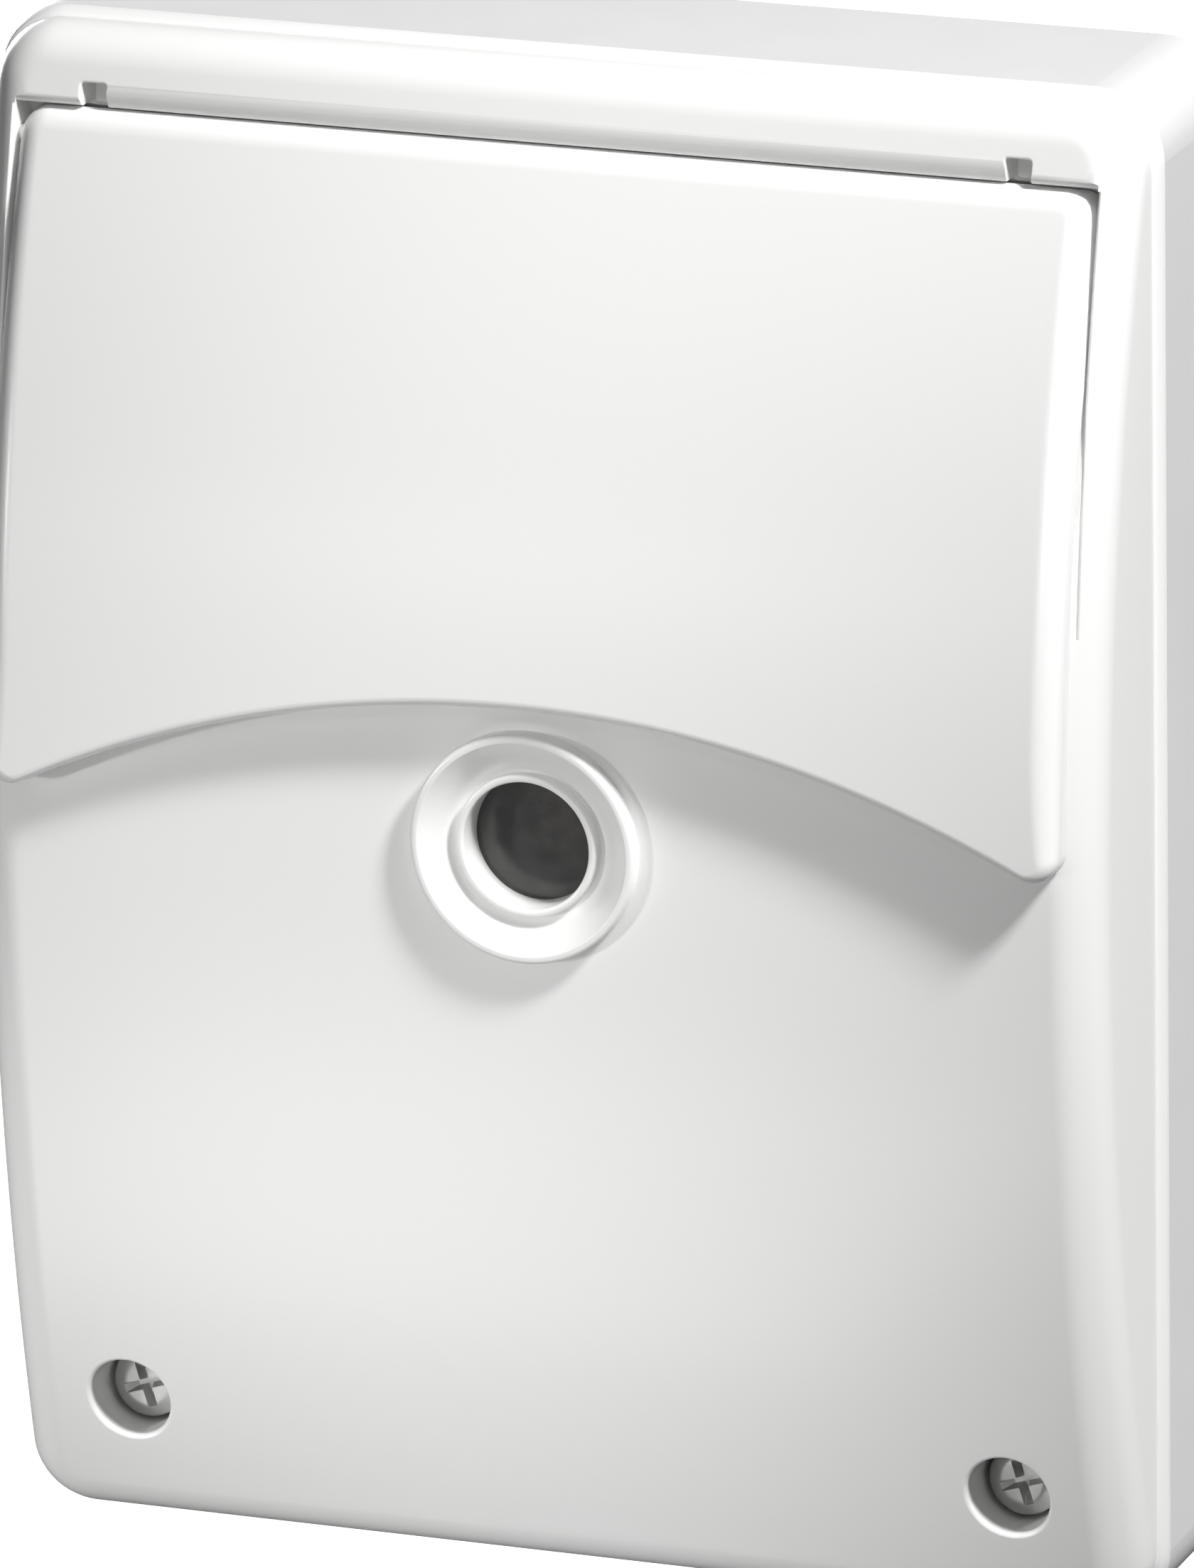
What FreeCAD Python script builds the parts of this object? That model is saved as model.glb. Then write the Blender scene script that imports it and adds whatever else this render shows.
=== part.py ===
import FreeCAD, Part
import os
import re

import Sketcher

# Twilight switch for a wall: a box with a domed cover, a light sensor and a hinged flap over its controls.
# Millimetres. X is to the right, Z is up, and the front faces -Y.
# The origin is the middle of the back face, where the switch meets the wall.
# A depth or "out" value is a distance in front of the wall, so it is -Y.

Vector = FreeCAD.Vector
document = FreeCAD.newDocument("TwilightSwitch")
sheet = document.addObject("Spreadsheet::Sheet", "Sizes")
sizes = {}
sub_parts = []

FACING_FRONT = FreeCAD.Rotation(Vector(1, 0, 0), 90)
FACING_RIGHT = FreeCAD.Rotation(Vector(0, 1, 0), 90)
FACING_UP = FreeCAD.Rotation()
SIDES = (("left", -1), ("right", 1))
ENDS = (("low", -1), ("high", 1))
BOARD_ENDS = (("low", "board_bottom + board_margin"), ("high", "board_top - board_margin"))
ON_SURFACE = 0.01


# Sizes

CASE_SIZES = {
    "case_width": 85.0,  # width of base and cover at their joint
    "case_height": 110.0,  # height of base and cover at their joint
    "corner_radius": 5.0,  # radius of the case corners seen from the front
    "inner_corner": 3.2,  # radius of the inner corners of base and cover
    "base_depth": 15.0,  # depth of the base, from the wall to the joint
    "base_wall": 2.4,  # side wall of the base
    "base_floor": 2.0,  # back wall of the base
    "seal_width": 1.2,  # width of the seal and of its step
    "seal_depth": 1.5,  # depth of the seal and of its step
    "edge_break": 0.35,  # chamfer on the front edge of the base
    "lip_step": 0.35,  # how far the cover's rear lip stands out
    "lip_depth": 1.0,  # depth of the cover's rear lip
    "cover_taper": 5.0,  # draft of the cover's sides, in degrees
    "cover_bulge": 11.7,  # lower face in front of the joint at mid height
    "cover_bow": 190.0,  # radius of the bowed cover face
    "cover_round": 3.5,  # rounding between the cover's face and sides
    "cover_wall": 2.0,  # wall of the cover
    "joint_gap": 0.1,  # gap beside pieces that drop into each other
}

FLAP_SIZES = {
    "flap_bulge": 14.6,  # flap in front of the joint at mid height
    "flap_bow": 134.0,  # radius of the bowed flap
    "flap_width": 78.5,  # width of the flap
    "flap_wall": 2.0,  # thickness of the flap
    "flap_apex": 11.3,  # height of the middle of the flap's curved lower edge
    "flap_edge_radius": 83.4,  # radius of the flap's curved lower edge
    "flap_corner": 1.8,  # radius of the flap's lower corners
    "flap_side_round": 2.0,  # rounding along the flap's sides
    "flap_edge_round": 0.7,  # rounding along the flap's lower edge
    "flap_gap": 0.3,  # running gap round the flap
    "hinge_height": 46.75,  # height of the hinge axis
    "barrel_end_round": 1.9,  # rounding of the ends of the flap's barrel
    "hinge_barrel": 2.1,  # radius of the flap's hinge barrel
    "hinge_pin": 0.6,  # radius of the hinge pins
    "hinge_reach": 0.7,  # depth of the hinge holes in the cover
    "hinge_clearance": 0.06,  # radial clearance of the hinge pins
    "bead_top": 51.0,  # height where the cover's edge above the flap starts to roll, between the windows
    "bead_round": 2.2,  # roll of the cover's edge above the flap, between the windows
    "corner_bead_round": 0.7,  # roll of the same edge outside the windows
    "window_place": 33.75,  # sideways place of the two small windows above the flap
    "window_width": 1.9,  # width of such a window
    "window_height": 2.0,  # height of such a window
    "window_floor": 2.0,  # floor of such a window in front of the joint
}

WELL_SIZES = {
    "well_width": 62.0,  # width of the well that holds the controls
    "well_bottom": 16.0,  # height of the well's lower wall
    "well_top": 38.0,  # height of the well's upper wall
    "well_floor": 6.0,  # floor of the well in front of the joint
    "well_wall": 1.6,  # wall of the well
    "well_corner": 3.0,  # radius of the well's corners
    "control_height": 26.0,  # height of the row of controls
    "dial_place": -15.0,  # sideways place of the brightness dial
    "dial_radius": 6.5,  # radius of the brightness dial
    "dial_rise": 2.3,  # how far the dial stands above the well's floor
    "dial_plate": 1.2,  # thickness of the dial's plate
    "dial_grip": 1.7,  # width of the dial's grip
    "dial_neck": 3.4,  # radius of the dial's neck, which turns in the well's floor
    "shaft_radius": 1.6,  # radius of the potentiometer's hub
    "turning_gap": 0.25,  # gap beside a turning or sliding control
    "selector_place": 12.0,  # sideways place of the selector at rest
    "selector_travel": 4.0,  # travel of the selector to each side
    "selector_width": 4.0,  # width of the selector's knob
    "selector_height": 5.0,  # height of the selector's knob
    "selector_rise": 2.2,  # how far the knob stands above the well's floor
    "selector_stem": 2.4,  # width of the selector's stem
    "control_clearance": 0.8,  # room between the well and the potentiometer and slide switch behind it
    "control_side": 11.0,  # side of the potentiometer
    "stem_end": 2.3,  # gap below the dial's hub and the selector's stem, inside their bodies
    "switch_margin": 1.6,  # wall of the slide switch beyond the stem's travel
    "lamp_place": 26.0,  # sideways place of the signal lamp
    "lamp_radius": 1.5,  # radius of the signal lamp and its light guide
    "lamp_height": 2.3,  # height of the signal lamp on the board
    "guide_collar": 0.7,  # how far the light guide's collar stands out
    "guide_collar_depth": 0.6,  # depth of the light guide's collar
}

SENSOR_SIZES = {
    "sensor_height": 1.0,  # height of the light sensor's centre
    "bezel_radius": 8.25,  # outer radius of the sensor's ring
    "bezel_stand": 1.2,  # how far the ring stands in front of the face
    "bezel_lip": 0.55,  # width of the ring's outer lip
    "bezel_skirt": 7.2,  # outer radius of the ring behind the cover's face
    "bezel_mouth": 5.15,  # outer radius of the ring's inner lip
    "bezel_bore": 4.6,  # radius of the ring's bore
    "bezel_sink": 1.8,  # depth of the ring's hollow
    "bezel_back": 3.6,  # how far the ring reaches behind the face
    "sleeve_wall": 0.9,  # wall of the dark sleeve behind the ring
    "window_thickness": 1.2,  # thickness of the sensor's clear window
    "cell_radius": 2.55,  # radius of the light cell
    "cell_depth": 2.1,  # depth of the light cell
}

COVER_SCREW_SIZES = {
    "screw_place": 32.85,  # sideways place of the cover screws
    "screw_drop": 44.8,  # how far the cover screws lie below the centre
    "counterbore_radius": 3.0,  # radius of the holes for the screw heads
    "counterbore_depth": 5.2,  # depth of the holes for the screw heads
    "head_radius": 2.65,  # radius of a cover screw's head
    "head_depth": 1.7,  # depth of a cover screw's head
    "shank_radius": 1.5,  # radius of a cover screw's shank
    "screw_end_room": 1.0,  # room in the hole past the end of a cover screw
    "washer_depth": 0.4,  # depth of the sealing ring under a screw head
    "post_radius": 3.4,  # radius of the screw posts
    "screw_hole_floor": 3.5,  # bottom of the cover screws' holes, from the wall
    "screw_slot": 0.7,  # width of a cross slot
    "screw_slot_depth": 0.9,  # depth of a cross slot
    "screw_slot_length": 3.3,  # length of a cross slot from end to end
}

INNER_SIZES = {
    "fixing_place": 22.0,  # sideways place of the wall screws
    "fixing_height": 46.5,  # height of the wall screws above and below the centre
    "fixing_radius": 2.2,  # radius of the wall screw holes
    "fixing_boss": 4.4,  # radius of the bosses round the wall screw holes
    "fixing_rise": 1.2,  # height of those bosses above the floor
    "entry_place": 9.5,  # sideways place of the cable entries
    "entry_shift": 0.25,  # how far the cable entries lie in front of the middle of their wall
    "entry_wall": 0.75,  # wall left between a cable entry and the floor or the seal's step
    "cable_radius": 3.6,  # radius of the opening in a cable grommet
    "grommet_step": 0.8,  # how far a grommet's flange reaches beyond its hole
    "grommet_lip": 1.2,  # thickness of a grommet's flange
    "board_width": 66.0,  # width of the circuit board
    "board_bottom": -18.0,  # lower edge of the circuit board
    "board_top": 42.0,  # upper edge of the circuit board
    "board_back": 13.2,  # back of the circuit board, from the wall
    "board_thickness": 1.6,  # thickness of the circuit board
    "board_margin": 4.0,  # distance of the board screws from the board's edges
    "board_post": 3.0,  # radius of the posts that carry the board
    "board_screw": 1.25,  # radius of the board screws
    "board_screw_head": 2.5,  # radius of the board screws' heads
    "board_screw_depth": 1.4,  # depth of the board screws' heads
    "board_screw_length": 7.0,  # length of the board screws' shanks
    "pole_count": 5,  # number of terminals
    "pole_pitch": 8.2,  # distance between terminals
    "block_bottom": -38.0,  # lower face of the terminal block
    "block_back": 3.0,  # back of the terminal block, from the wall
    "block_height": 14.0,  # height of the terminal block
    "block_front": 14.0,  # front of the terminal block, from the wall
    "clamp_width": 5.4,  # width of a terminal clamp
    "clamp_height": 8.0,  # height of a terminal clamp
    "clamp_back": 4.0,  # back of the clamps, from the wall
    "clamp_front": 11.0,  # front of the clamps, from the wall
    "clamp_inset": 1.5,  # height of the clamps above the block's lower face
    "block_end": 1.0,  # wall of the terminal block beyond the outer terminals
    "wire_radius": 1.7,  # half the width of a clamp's wire channel
    "wire_funnel": 0.4,  # how much wider the wire holes of the block are
    "wire_depth": 6.8,  # distance of the wire holes from the wall
    "terminal_screw": 1.4,  # radius of a terminal screw's shank
    "terminal_head": 2.1,  # radius of a terminal screw's head
    "terminal_head_depth": 1.6,  # depth of a terminal screw's head
    "tail_width": 1.0,  # width of a terminal's tail to the board
    "tail_thickness": 0.8,  # thickness of a terminal's tail
    "tail_overlap": 2.4,  # how far a tail reaches over the board
}

COMPONENT_SIZES = {
    "relay_width": 28.0,  # length of the relay
    "relay_depth": 10.2,  # height of the relay on the board
    "relay_height": 12.5,  # width of the relay
    "relay_place": -16.0,  # sideways place of the relay
    "relay_level": 22.0,  # lower side of the relay
    "film_width": 17.5,  # length of the film capacitor
    "film_depth": 9.9,  # height of the film capacitor on the board
    "film_height": 8.5,  # width of the film capacitor
    "film_place": 15.0,  # sideways place of the film capacitor
    "film_level": 25.0,  # lower side of the film capacitor
    "can_radius": 4.0,  # radius of the electrolytic capacitor
    "can_length": 11.5,  # length of the electrolytic capacitor
    "can_place": 4.0,  # left end of the electrolytic capacitor
    "can_level": 16.5,  # height of the electrolytic capacitor's axis
    "disc_radius": 4.7,  # radius of the varistor
    "disc_depth": 4.0,  # thickness of the varistor
    "disc_place": -24.0,  # sideways place of the varistor
    "disc_level": 13.0,  # height of the varistor's centre
    "fuse_radius": 2.6,  # radius of the fuse
    "fuse_length": 20.0,  # length of the fuse
    "fuse_cap": 5.0,  # length of the fuse's end caps
    "fuse_place": -30.0,  # left end of the fuse
    "fuse_level": 3.0,  # height of the fuse's axis
    "bridge_radius": 4.4,  # radius of the rectifier
    "bridge_depth": 5.2,  # height of the rectifier on the board
    "bridge_place": 25.0,  # sideways place of the rectifier
    "bridge_level": 13.0,  # height of the rectifier's centre
    "resistor_radius": 2.2,  # radius of the series resistor
    "resistor_length": 12.0,  # length of the series resistor
    "resistor_place": 8.0,  # left end of the series resistor
    "resistor_level": 3.0,  # height of the series resistor's axis
    "chip_width": 9.9,  # length of the control chip
    "chip_depth": 2.0,  # height of the control chip on the board
    "chip_height": 3.9,  # width of the control chip's body
    "chip_place": 18.0,  # sideways place of the control chip
    "chip_level": 0.0,  # lower side of the control chip's body
    "chip_pins": 8,  # pins on each side of the control chip
    "chip_pitch": 1.27,  # distance between the chip's pins
    "chip_pin_reach": 1.0,  # how far the chip's pins stand out
    "solder_gap": 0.2,  # gap between a round component and the board
}


def write_sizes():
    """Write the driving dimensions in the sheet, each under its name."""
    driving = (CASE_SIZES, FLAP_SIZES, WELL_SIZES, SENSOR_SIZES, COVER_SCREW_SIZES, INNER_SIZES,
               COMPONENT_SIZES)
    for group_of_sizes in driving:
        for name, value in group_of_sizes.items():
            row = len(sizes) + 1
            sheet.set("A%d" % row, str(value))
            sheet.setAlias("A%d" % row, name)
            sheet.set("B%d" % row, name.replace("_", " "))
            sizes[name] = value


def derived_size(name, rule, meaning):
    """Write a size that follows from others, as a rule on their names."""
    row = len(sizes) + 1
    plain = re.sub(r"[a-z_]+", lambda word: "A%d" % (list(sizes).index(word.group()) + 1)
                   if word.group() in sizes else word.group(), rule)
    sheet.set("A%d" % row, "=" + plain)
    sheet.setAlias("A%d" % row, name)
    sheet.set("B%d" % row, meaning)
    document.recompute()
    sizes[name] = float(sheet.get(name))


def set_derived_sizes():
    """Places that follow from other sizes, as formulas in the sheet."""
    derived_size("hinge_out", "base_depth + flap_bulge - flap_bow"
                 " + sqrt((flap_bow - hinge_barrel) ^ 2 - hinge_height ^ 2)",
                 "distance of the hinge axis from the wall")
    derived_size("bed_top", "hinge_height + hinge_barrel + flap_gap", "height of the bed's upper edge")
    derived_size("entry_depth", "(base_depth - seal_depth + base_floor) / 2 + entry_shift",
                 "distance of the cable entries from the wall")
    derived_size("entry_radius", "(base_depth - seal_depth - base_floor) / 2 - entry_wall",
                 "radius of the cable entry holes")
    derived_size("grommet_flange", "entry_radius + grommet_step", "radius of a grommet's flange")
    derived_size("board_front", "board_back + board_thickness", "distance of the board's front from the wall")
    derived_size("control_body", "base_depth + well_floor - well_wall - board_front - control_clearance",
                 "height of the potentiometer and the slide switch on the board")
    derived_size("bowl_centre", "((bezel_radius - bezel_lip) ^ 2 - bezel_mouth ^ 2 - bezel_sink ^ 2)"
                 " / (2 * bezel_sink)",
                 "distance of the bowl's centre in front of the sensor's ring")
    derived_size("corner_bead_top",
                 "(bed_top + corner_bead_round) * cover_bow / (cover_bow - corner_bead_round)",
                 "height where the edge outside the windows starts to roll")
    for bead in ("bead", "corner_bead"):
        share = "(1 - %s_round / cover_bow)" % bead
        derived_size(bead + "_axis", "%s_top * %s" % (bead, share), "height of the axis of a rolled edge")
        derived_size(bead + "_out", "base_depth + cover_bulge - cover_bow"
                     " + sqrt(cover_bow ^ 2 - %s_top ^ 2) * %s" % (bead, share),
                     "distance from the wall of the axis of a rolled edge")
    derived_size("screw_seat", "base_depth + cover_bulge - cover_bow + sqrt(cover_bow ^ 2 - screw_drop ^ 2)"
                 " - counterbore_depth", "distance of the screw heads' seats from the wall")
    derived_size("shank_length", "screw_seat + washer_depth - screw_hole_floor - screw_end_room",
                 "length of a cover screw's shank")


def formula(text):
    """Turn a formula on the names of sizes into one that reads the sheet."""
    return re.sub(r"[a-z_]+", lambda word: "Sizes." + word.group() if word.group() in sizes else word.group(),
                  text)


def bind(feature, **formulas):
    """Tie properties of a feature to formulas on the sheet."""
    for name, text in formulas.items():
        feature.setExpression(name, formula(text))
    return feature


def place(feature, x, out, z, turn=FACING_UP):
    """Put a feature at a point given by three formulas: sideways, out from the wall, and up."""
    feature.Placement = FreeCAD.Placement(Vector(), turn)
    feature.setExpression("Placement.Base.x", formula(x))
    feature.setExpression("Placement.Base.y", formula("-(%s)" % out))
    feature.setExpression("Placement.Base.z", formula(z))
    return feature


# Simple solids

def box(name, x, out, z, width, depth, height):
    """Box centred on x, from the distance out to out + depth, standing on the height z."""
    solid = document.addObject("Part::Box", name)
    bind(solid, Length=width, Width=depth, Height=height)
    return place(solid, "(%s) - (%s) / 2" % (x, width), "(%s) + (%s)" % (out, depth), z)


def rod(name, x, out, z, radius, length, turn=FACING_FRONT):
    """Cylinder that starts at a point and runs to the front, to the right or up."""
    solid = document.addObject("Part::Cylinder", name)
    bind(solid, Radius=radius, Height=length)
    return place(solid, x, out, z, turn)


def bow(name, bulge, radius, shrink="0"):
    """Cylinder across the whole width whose front is a bowed face, shrunk by a wall."""
    return rod(name, "-case_width", "base_depth + (%s) - (%s)" % (bulge, radius), "0",
               "%s - (%s)" % (radius, shrink), "case_width * 2", FACING_RIGHT)


def fuse(name, *pieces):
    """Join pieces into one solid."""
    joined = document.addObject("Part::MultiFuse", name)
    joined.Shapes = list(pieces)
    joined.Refine = True
    return joined


def common(name, *pieces):
    """Keep what all pieces share."""
    shared = document.addObject("Part::MultiCommon", name)
    shared.Shapes = list(pieces)
    return shared


def cut(name, body, *tools):
    """Cut one or more tools out of a body."""
    result = document.addObject("Part::Cut", name)
    result.Base = body
    result.Tool = tools[0] if len(tools) == 1 else fuse(name + "_tools", *tools)
    result.Refine = True
    return result


def group(name, *pieces):
    """Keep like pieces together in one node, as separate solids."""
    kept = document.addObject("Part::Compound", name)
    kept.Links = list(pieces)
    return kept


def round_edges(name, body, edges):
    """Round the edges of a body, given as (edge, radius) or (edge, radius, radius at the far end)."""
    rounded = document.addObject("Part::Fillet", name)
    rounded.Base = body
    rounded.Edges = [(number, start, end) for number, start, end in edges]
    document.recompute()
    return rounded


def edges_where(body, test):
    """Numbers of the edges whose middle point passes a test."""
    document.recompute()
    found = []
    for number, edge in enumerate(body.Shape.Edges, 1):
        middle = edge.valueAt((edge.FirstParameter + edge.LastParameter) / 2)
        if test(edge, middle):
            found.append(number)
    return found


def finish(piece, name):
    """Name a finished sub-part and put it on the list of what is written."""
    piece.Label = name
    sub_parts.append(piece)
    return piece


# Outlines

def rounded_outline(name, width, height, radius, x, out, z):
    """Sketch of a rectangle with round corners, facing the front, centred on a point."""
    outline = document.addObject("Sketcher::SketchObject", name)
    place(outline, x, out, z, FACING_FRONT)
    across, up, curve = 20.0, 30.0, 2.0
    corners = ((1, 1, 0), (-1, 1, 1), (-1, -1, 2), (1, -1, 3))
    quarter = 1.5707963267948966
    for right, top, turn in corners:
        centre = Vector(right * (across - curve), top * (up - curve), 0)
        circle = Part.Circle(centre, Vector(0, 0, 1), curve)
        outline.addGeometry(Part.ArcOfCircle(circle, turn * quarter, (turn + 1) * quarter), False)
    for corner in range(4):
        following = (corner + 1) % 4
        start = outline.getPoint(corner, 2)
        end = outline.getPoint(following, 1)
        outline.addGeometry(Part.LineSegment(start, end), False)
        line = 4 + corner
        outline.addConstraint(Sketcher.Constraint("Tangent", corner, 2, line, 1))
        outline.addConstraint(Sketcher.Constraint("Tangent", line, 2, following, 1))
        outline.addConstraint(Sketcher.Constraint("Horizontal" if corner % 2 == 0 else "Vertical", line))
    for corner in range(1, 4):
        outline.addConstraint(Sketcher.Constraint("Equal", 0, corner))
    outline.addConstraint(Sketcher.Constraint("Symmetric", 0, 3, 2, 3, -1, 1))
    limits = (("width", "DistanceX", 5, 1, 7, 1, 2 * across), ("height", "DistanceY", 6, 1, 4, 1, 2 * up))
    for label, kind, first, first_end, second, second_end, start in limits:
        number = outline.addConstraint(Sketcher.Constraint(kind, first, first_end, second, second_end, start))
        outline.renameConstraint(number, label)
    number = outline.addConstraint(Sketcher.Constraint("Radius", 0, curve))
    outline.renameConstraint(number, "corner")
    bind(outline, **{"Constraints.width": width, "Constraints.height": height, "Constraints.corner": radius})
    return outline


def plate(name, outline, depth, taper="0"):
    """Solid from an outline, run to the front, its sides leaning in by the taper in degrees."""
    solid = document.addObject("Part::Extrusion", name)
    solid.Base = outline
    solid.DirMode = "Normal"
    solid.Solid = True
    return bind(solid, LengthFwd=depth, TaperAngle="-(%s)" % taper)


def rounded_plate(name, width, height, radius, out, depth, x="0", z="0", taper="0"):
    """Plate with round corners, from the distance out to out + depth."""
    outline = rounded_outline(name + "_outline", width, height, radius, x, out, z)
    return plate(name, outline, depth, taper)


# Checks and files

def check_features():
    """Stop if any feature failed to build."""
    for feature in document.Objects:
        if "Invalid" in feature.State or "Error" in feature.State:
            raise RuntimeError("%s did not build: %s" % (feature.Name, feature.State))


def write_parts():
    """Check each sub-part and write it to its own file."""
    os.makedirs("parts", exist_ok=True)
    for piece in sub_parts:
        if piece.Shape.isNull() or not piece.Shape.isValid() or not piece.Shape.Solids:
            raise RuntimeError("%s has no valid solid" % piece.Label)
        piece.Shape.exportStep("parts/%s.step" % piece.Label)


# Base

def board_screw_place(sign):
    """Sideways place of the board screws on one side, as a formula."""
    return "%d * (board_width / 2 - board_margin)" % sign


def make_base():
    """Open box against the wall, with posts, bosses, cable entries and a step for the seal."""
    outside = rounded_plate("base_outside", "case_width", "case_height", "corner_radius", "0", "base_depth")
    inside = rounded_plate("base_inside", "case_width - 2 * base_wall", "case_height - 2 * base_wall",
                           "inner_corner", "base_floor", "base_depth")
    step_inset = "2 * (base_wall - seal_width)"
    step = rounded_plate("base_step", "case_width - " + step_inset, "case_height - " + step_inset,
                         "corner_radius - base_wall + seal_width", "base_depth - seal_depth", "base_depth")
    shell = cut("base_shell", outside, inside, step)
    posts = []
    for side, sign in SIDES:
        posts.append(rod("base_screw_post_" + side, "%d * screw_place" % sign, "base_floor / 2",
                         "-screw_drop", "post_radius", "base_depth - base_floor / 2"))
        for end, level in BOARD_ENDS:
            posts.append(rod("base_board_post_%s_%s" % (side, end), board_screw_place(sign),
                             "base_floor / 2", level, "board_post", "board_back - base_floor / 2"))
        for end, direction in ENDS:
            posts.append(rod("base_fixing_boss_%s_%s" % (side, end), "%d * fixing_place" % sign,
                             "base_floor / 2", "%d * fixing_height" % direction, "fixing_boss",
                             "base_floor / 2 + fixing_rise"))
        posts.append(box("base_post_rib_" + side, "%d * (screw_place + post_radius)" % sign, "base_floor / 2",
                         "-screw_drop - base_wall / 4", "post_radius", "base_depth - 2 * base_floor",
                         "base_wall / 2"))
    block_feet = [box("base_block_foot_" + side, "%d * pole_pitch * pole_count / 3" % sign, "base_floor / 2",
                      "block_bottom + block_height / 4", "pole_pitch / 2", "block_back - base_floor / 2",
                      "block_height / 2") for side, sign in SIDES]
    holes = []
    for side, sign in SIDES:
        holes.append(rod("base_screw_hole_" + side, "%d * screw_place" % sign, "screw_hole_floor",
                         "-screw_drop",
                         "shank_radius + joint_gap / 2", "base_depth"))
        for end, level in BOARD_ENDS:
            holes.append(rod("base_board_hole_%s_%s" % (side, end), board_screw_place(sign),
                             "board_back - board_screw_length", level, "board_screw + joint_gap / 2",
                             "base_depth"))
        for end, direction in ENDS:
            holes.append(rod("base_fixing_hole_%s_%s" % (side, end), "%d * fixing_place" % sign,
                             "-base_floor",
                             "%d * fixing_height" % direction, "fixing_radius", "base_depth"))
        holes.append(rod("base_entry_" + side, "%d * entry_place" % sign, "entry_depth",
                         "-case_height / 2 - base_wall", "entry_radius", "3 * base_wall", FACING_UP))
    solid = cut("base_solid", fuse("base_with_posts", shell, *(posts + block_feet)), *holes)
    half_width = sizes["case_width"] / 2
    half_height = sizes["case_height"] / 2
    front = -sizes["base_depth"]
    rim = edges_where(solid, lambda edge, middle: abs(middle.y - front) < ON_SURFACE and (
        abs(abs(middle.x) - half_width) < ON_SURFACE or abs(abs(middle.z) - half_height) < ON_SURFACE
        or Vector(middle.x, 0, middle.z).Length > corner_reach()))
    broken = document.addObject("Part::Chamfer", "base_broken_edge")
    broken.Base = solid
    broken.Edges = [(number, sizes["edge_break"], sizes["edge_break"]) for number in rim]
    return finish(broken, "base_housing")


def corner_reach():
    """Distance from the centre to just inside the middle of the case's corner arcs."""
    inner = Vector(sizes["case_width"] / 2 - sizes["corner_radius"], 0,
                   sizes["case_height"] / 2 - sizes["corner_radius"])
    corner = inner + Vector(1, 0, 1).normalize() * sizes["corner_radius"]
    return corner.Length - sizes["edge_break"] / 2


def make_seal():
    """Rubber ring that lies in the step of the base's wall, under the cover."""
    outer_inset = "2 * (base_wall - seal_width + joint_gap)"
    outside = rounded_plate("seal_outside", "case_width - " + outer_inset, "case_height - " + outer_inset,
                            "corner_radius - base_wall + seal_width - joint_gap", "base_depth - seal_depth",
                            "seal_depth")
    inside = rounded_plate("seal_inside", "case_width - 2 * base_wall", "case_height - 2 * base_wall",
                           "inner_corner", "base_depth - 2 * seal_depth", "4 * seal_depth")
    return finish(cut("seal_ring", outside, inside), "cover_seal")


def make_grommets():
    """Two rubber grommets in the bottom wall, each with a flange inside."""
    grommets = []
    for side, sign in SIDES:
        x = "%d * entry_place" % sign
        neck = rod("grommet_neck_" + side, x, "entry_depth", "-case_height / 2",
                   "entry_radius - joint_gap / 2", "base_wall + grommet_lip / 2", FACING_UP)
        flange = rod("grommet_flange_" + side, x, "entry_depth", "-case_height / 2 + base_wall",
                     "grommet_flange", "grommet_lip", FACING_UP)
        bore = rod("grommet_bore_" + side, x, "entry_depth", "-case_height", "cable_radius",
                   "case_height", FACING_UP)
        grommets.append(cut("grommet_" + side, fuse("grommet_body_" + side, neck, flange), bore))
    return finish(group("grommets", *grommets), "cable_grommets")


# Cover

def make_cover():
    """Domed front shell with a bed for the flap, a well for the controls, and holes for sensor and screws."""
    lip = rounded_plate("cover_lip", "case_width", "case_height", "corner_radius", "base_depth", "lip_depth",
                        taper="45 * lip_step / lip_depth")
    sides = rounded_plate("cover_sides", "case_width - 2 * lip_step", "case_height - 2 * lip_step",
                          "corner_radius", "base_depth", "cover_bulge * 2", taper="cover_taper")
    dome = bow("cover_dome", "cover_bulge", "cover_bow")
    blank = common("cover_blank", sides, dome)
    bow_centre = sizes["base_depth"] + sizes["cover_bulge"] - sizes["cover_bow"]
    front_edges = edges_where(blank, lambda edge, middle: abs(
        Vector(0, -middle.y - bow_centre, middle.z).Length - sizes["cover_bow"]) < ON_SURFACE)
    rounded = round_edges("cover_rounded", blank, [(number, sizes["cover_round"], sizes["cover_round"])
                                                   for number in front_edges])
    cavity = make_cover_cavity()
    shell = cut("cover_shell", fuse("cover_with_lip", rounded, lip), cavity)
    inner_parts = [shell, common("well_block", dome_inside(), make_well_block())]
    for side, sign in SIDES:
        inner_parts.append(common("cover_screw_block_" + side, dome_inside(), rod(
            "cover_screw_tube_" + side, "%d * screw_place" % sign, "base_depth", "-screw_drop",
            "counterbore_radius + well_wall", "cover_bulge")))
    return finish(cut("cover_cut", fuse("cover_with_blocks", *inner_parts), *cover_openings()), "front_cover")


def dome_inside():
    """The cover's bowed form, a little inside its face, for blocks that join the face from behind."""
    return bow("cover_dome_inside", "cover_bulge", "cover_bow", "cover_wall / 2")


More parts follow.
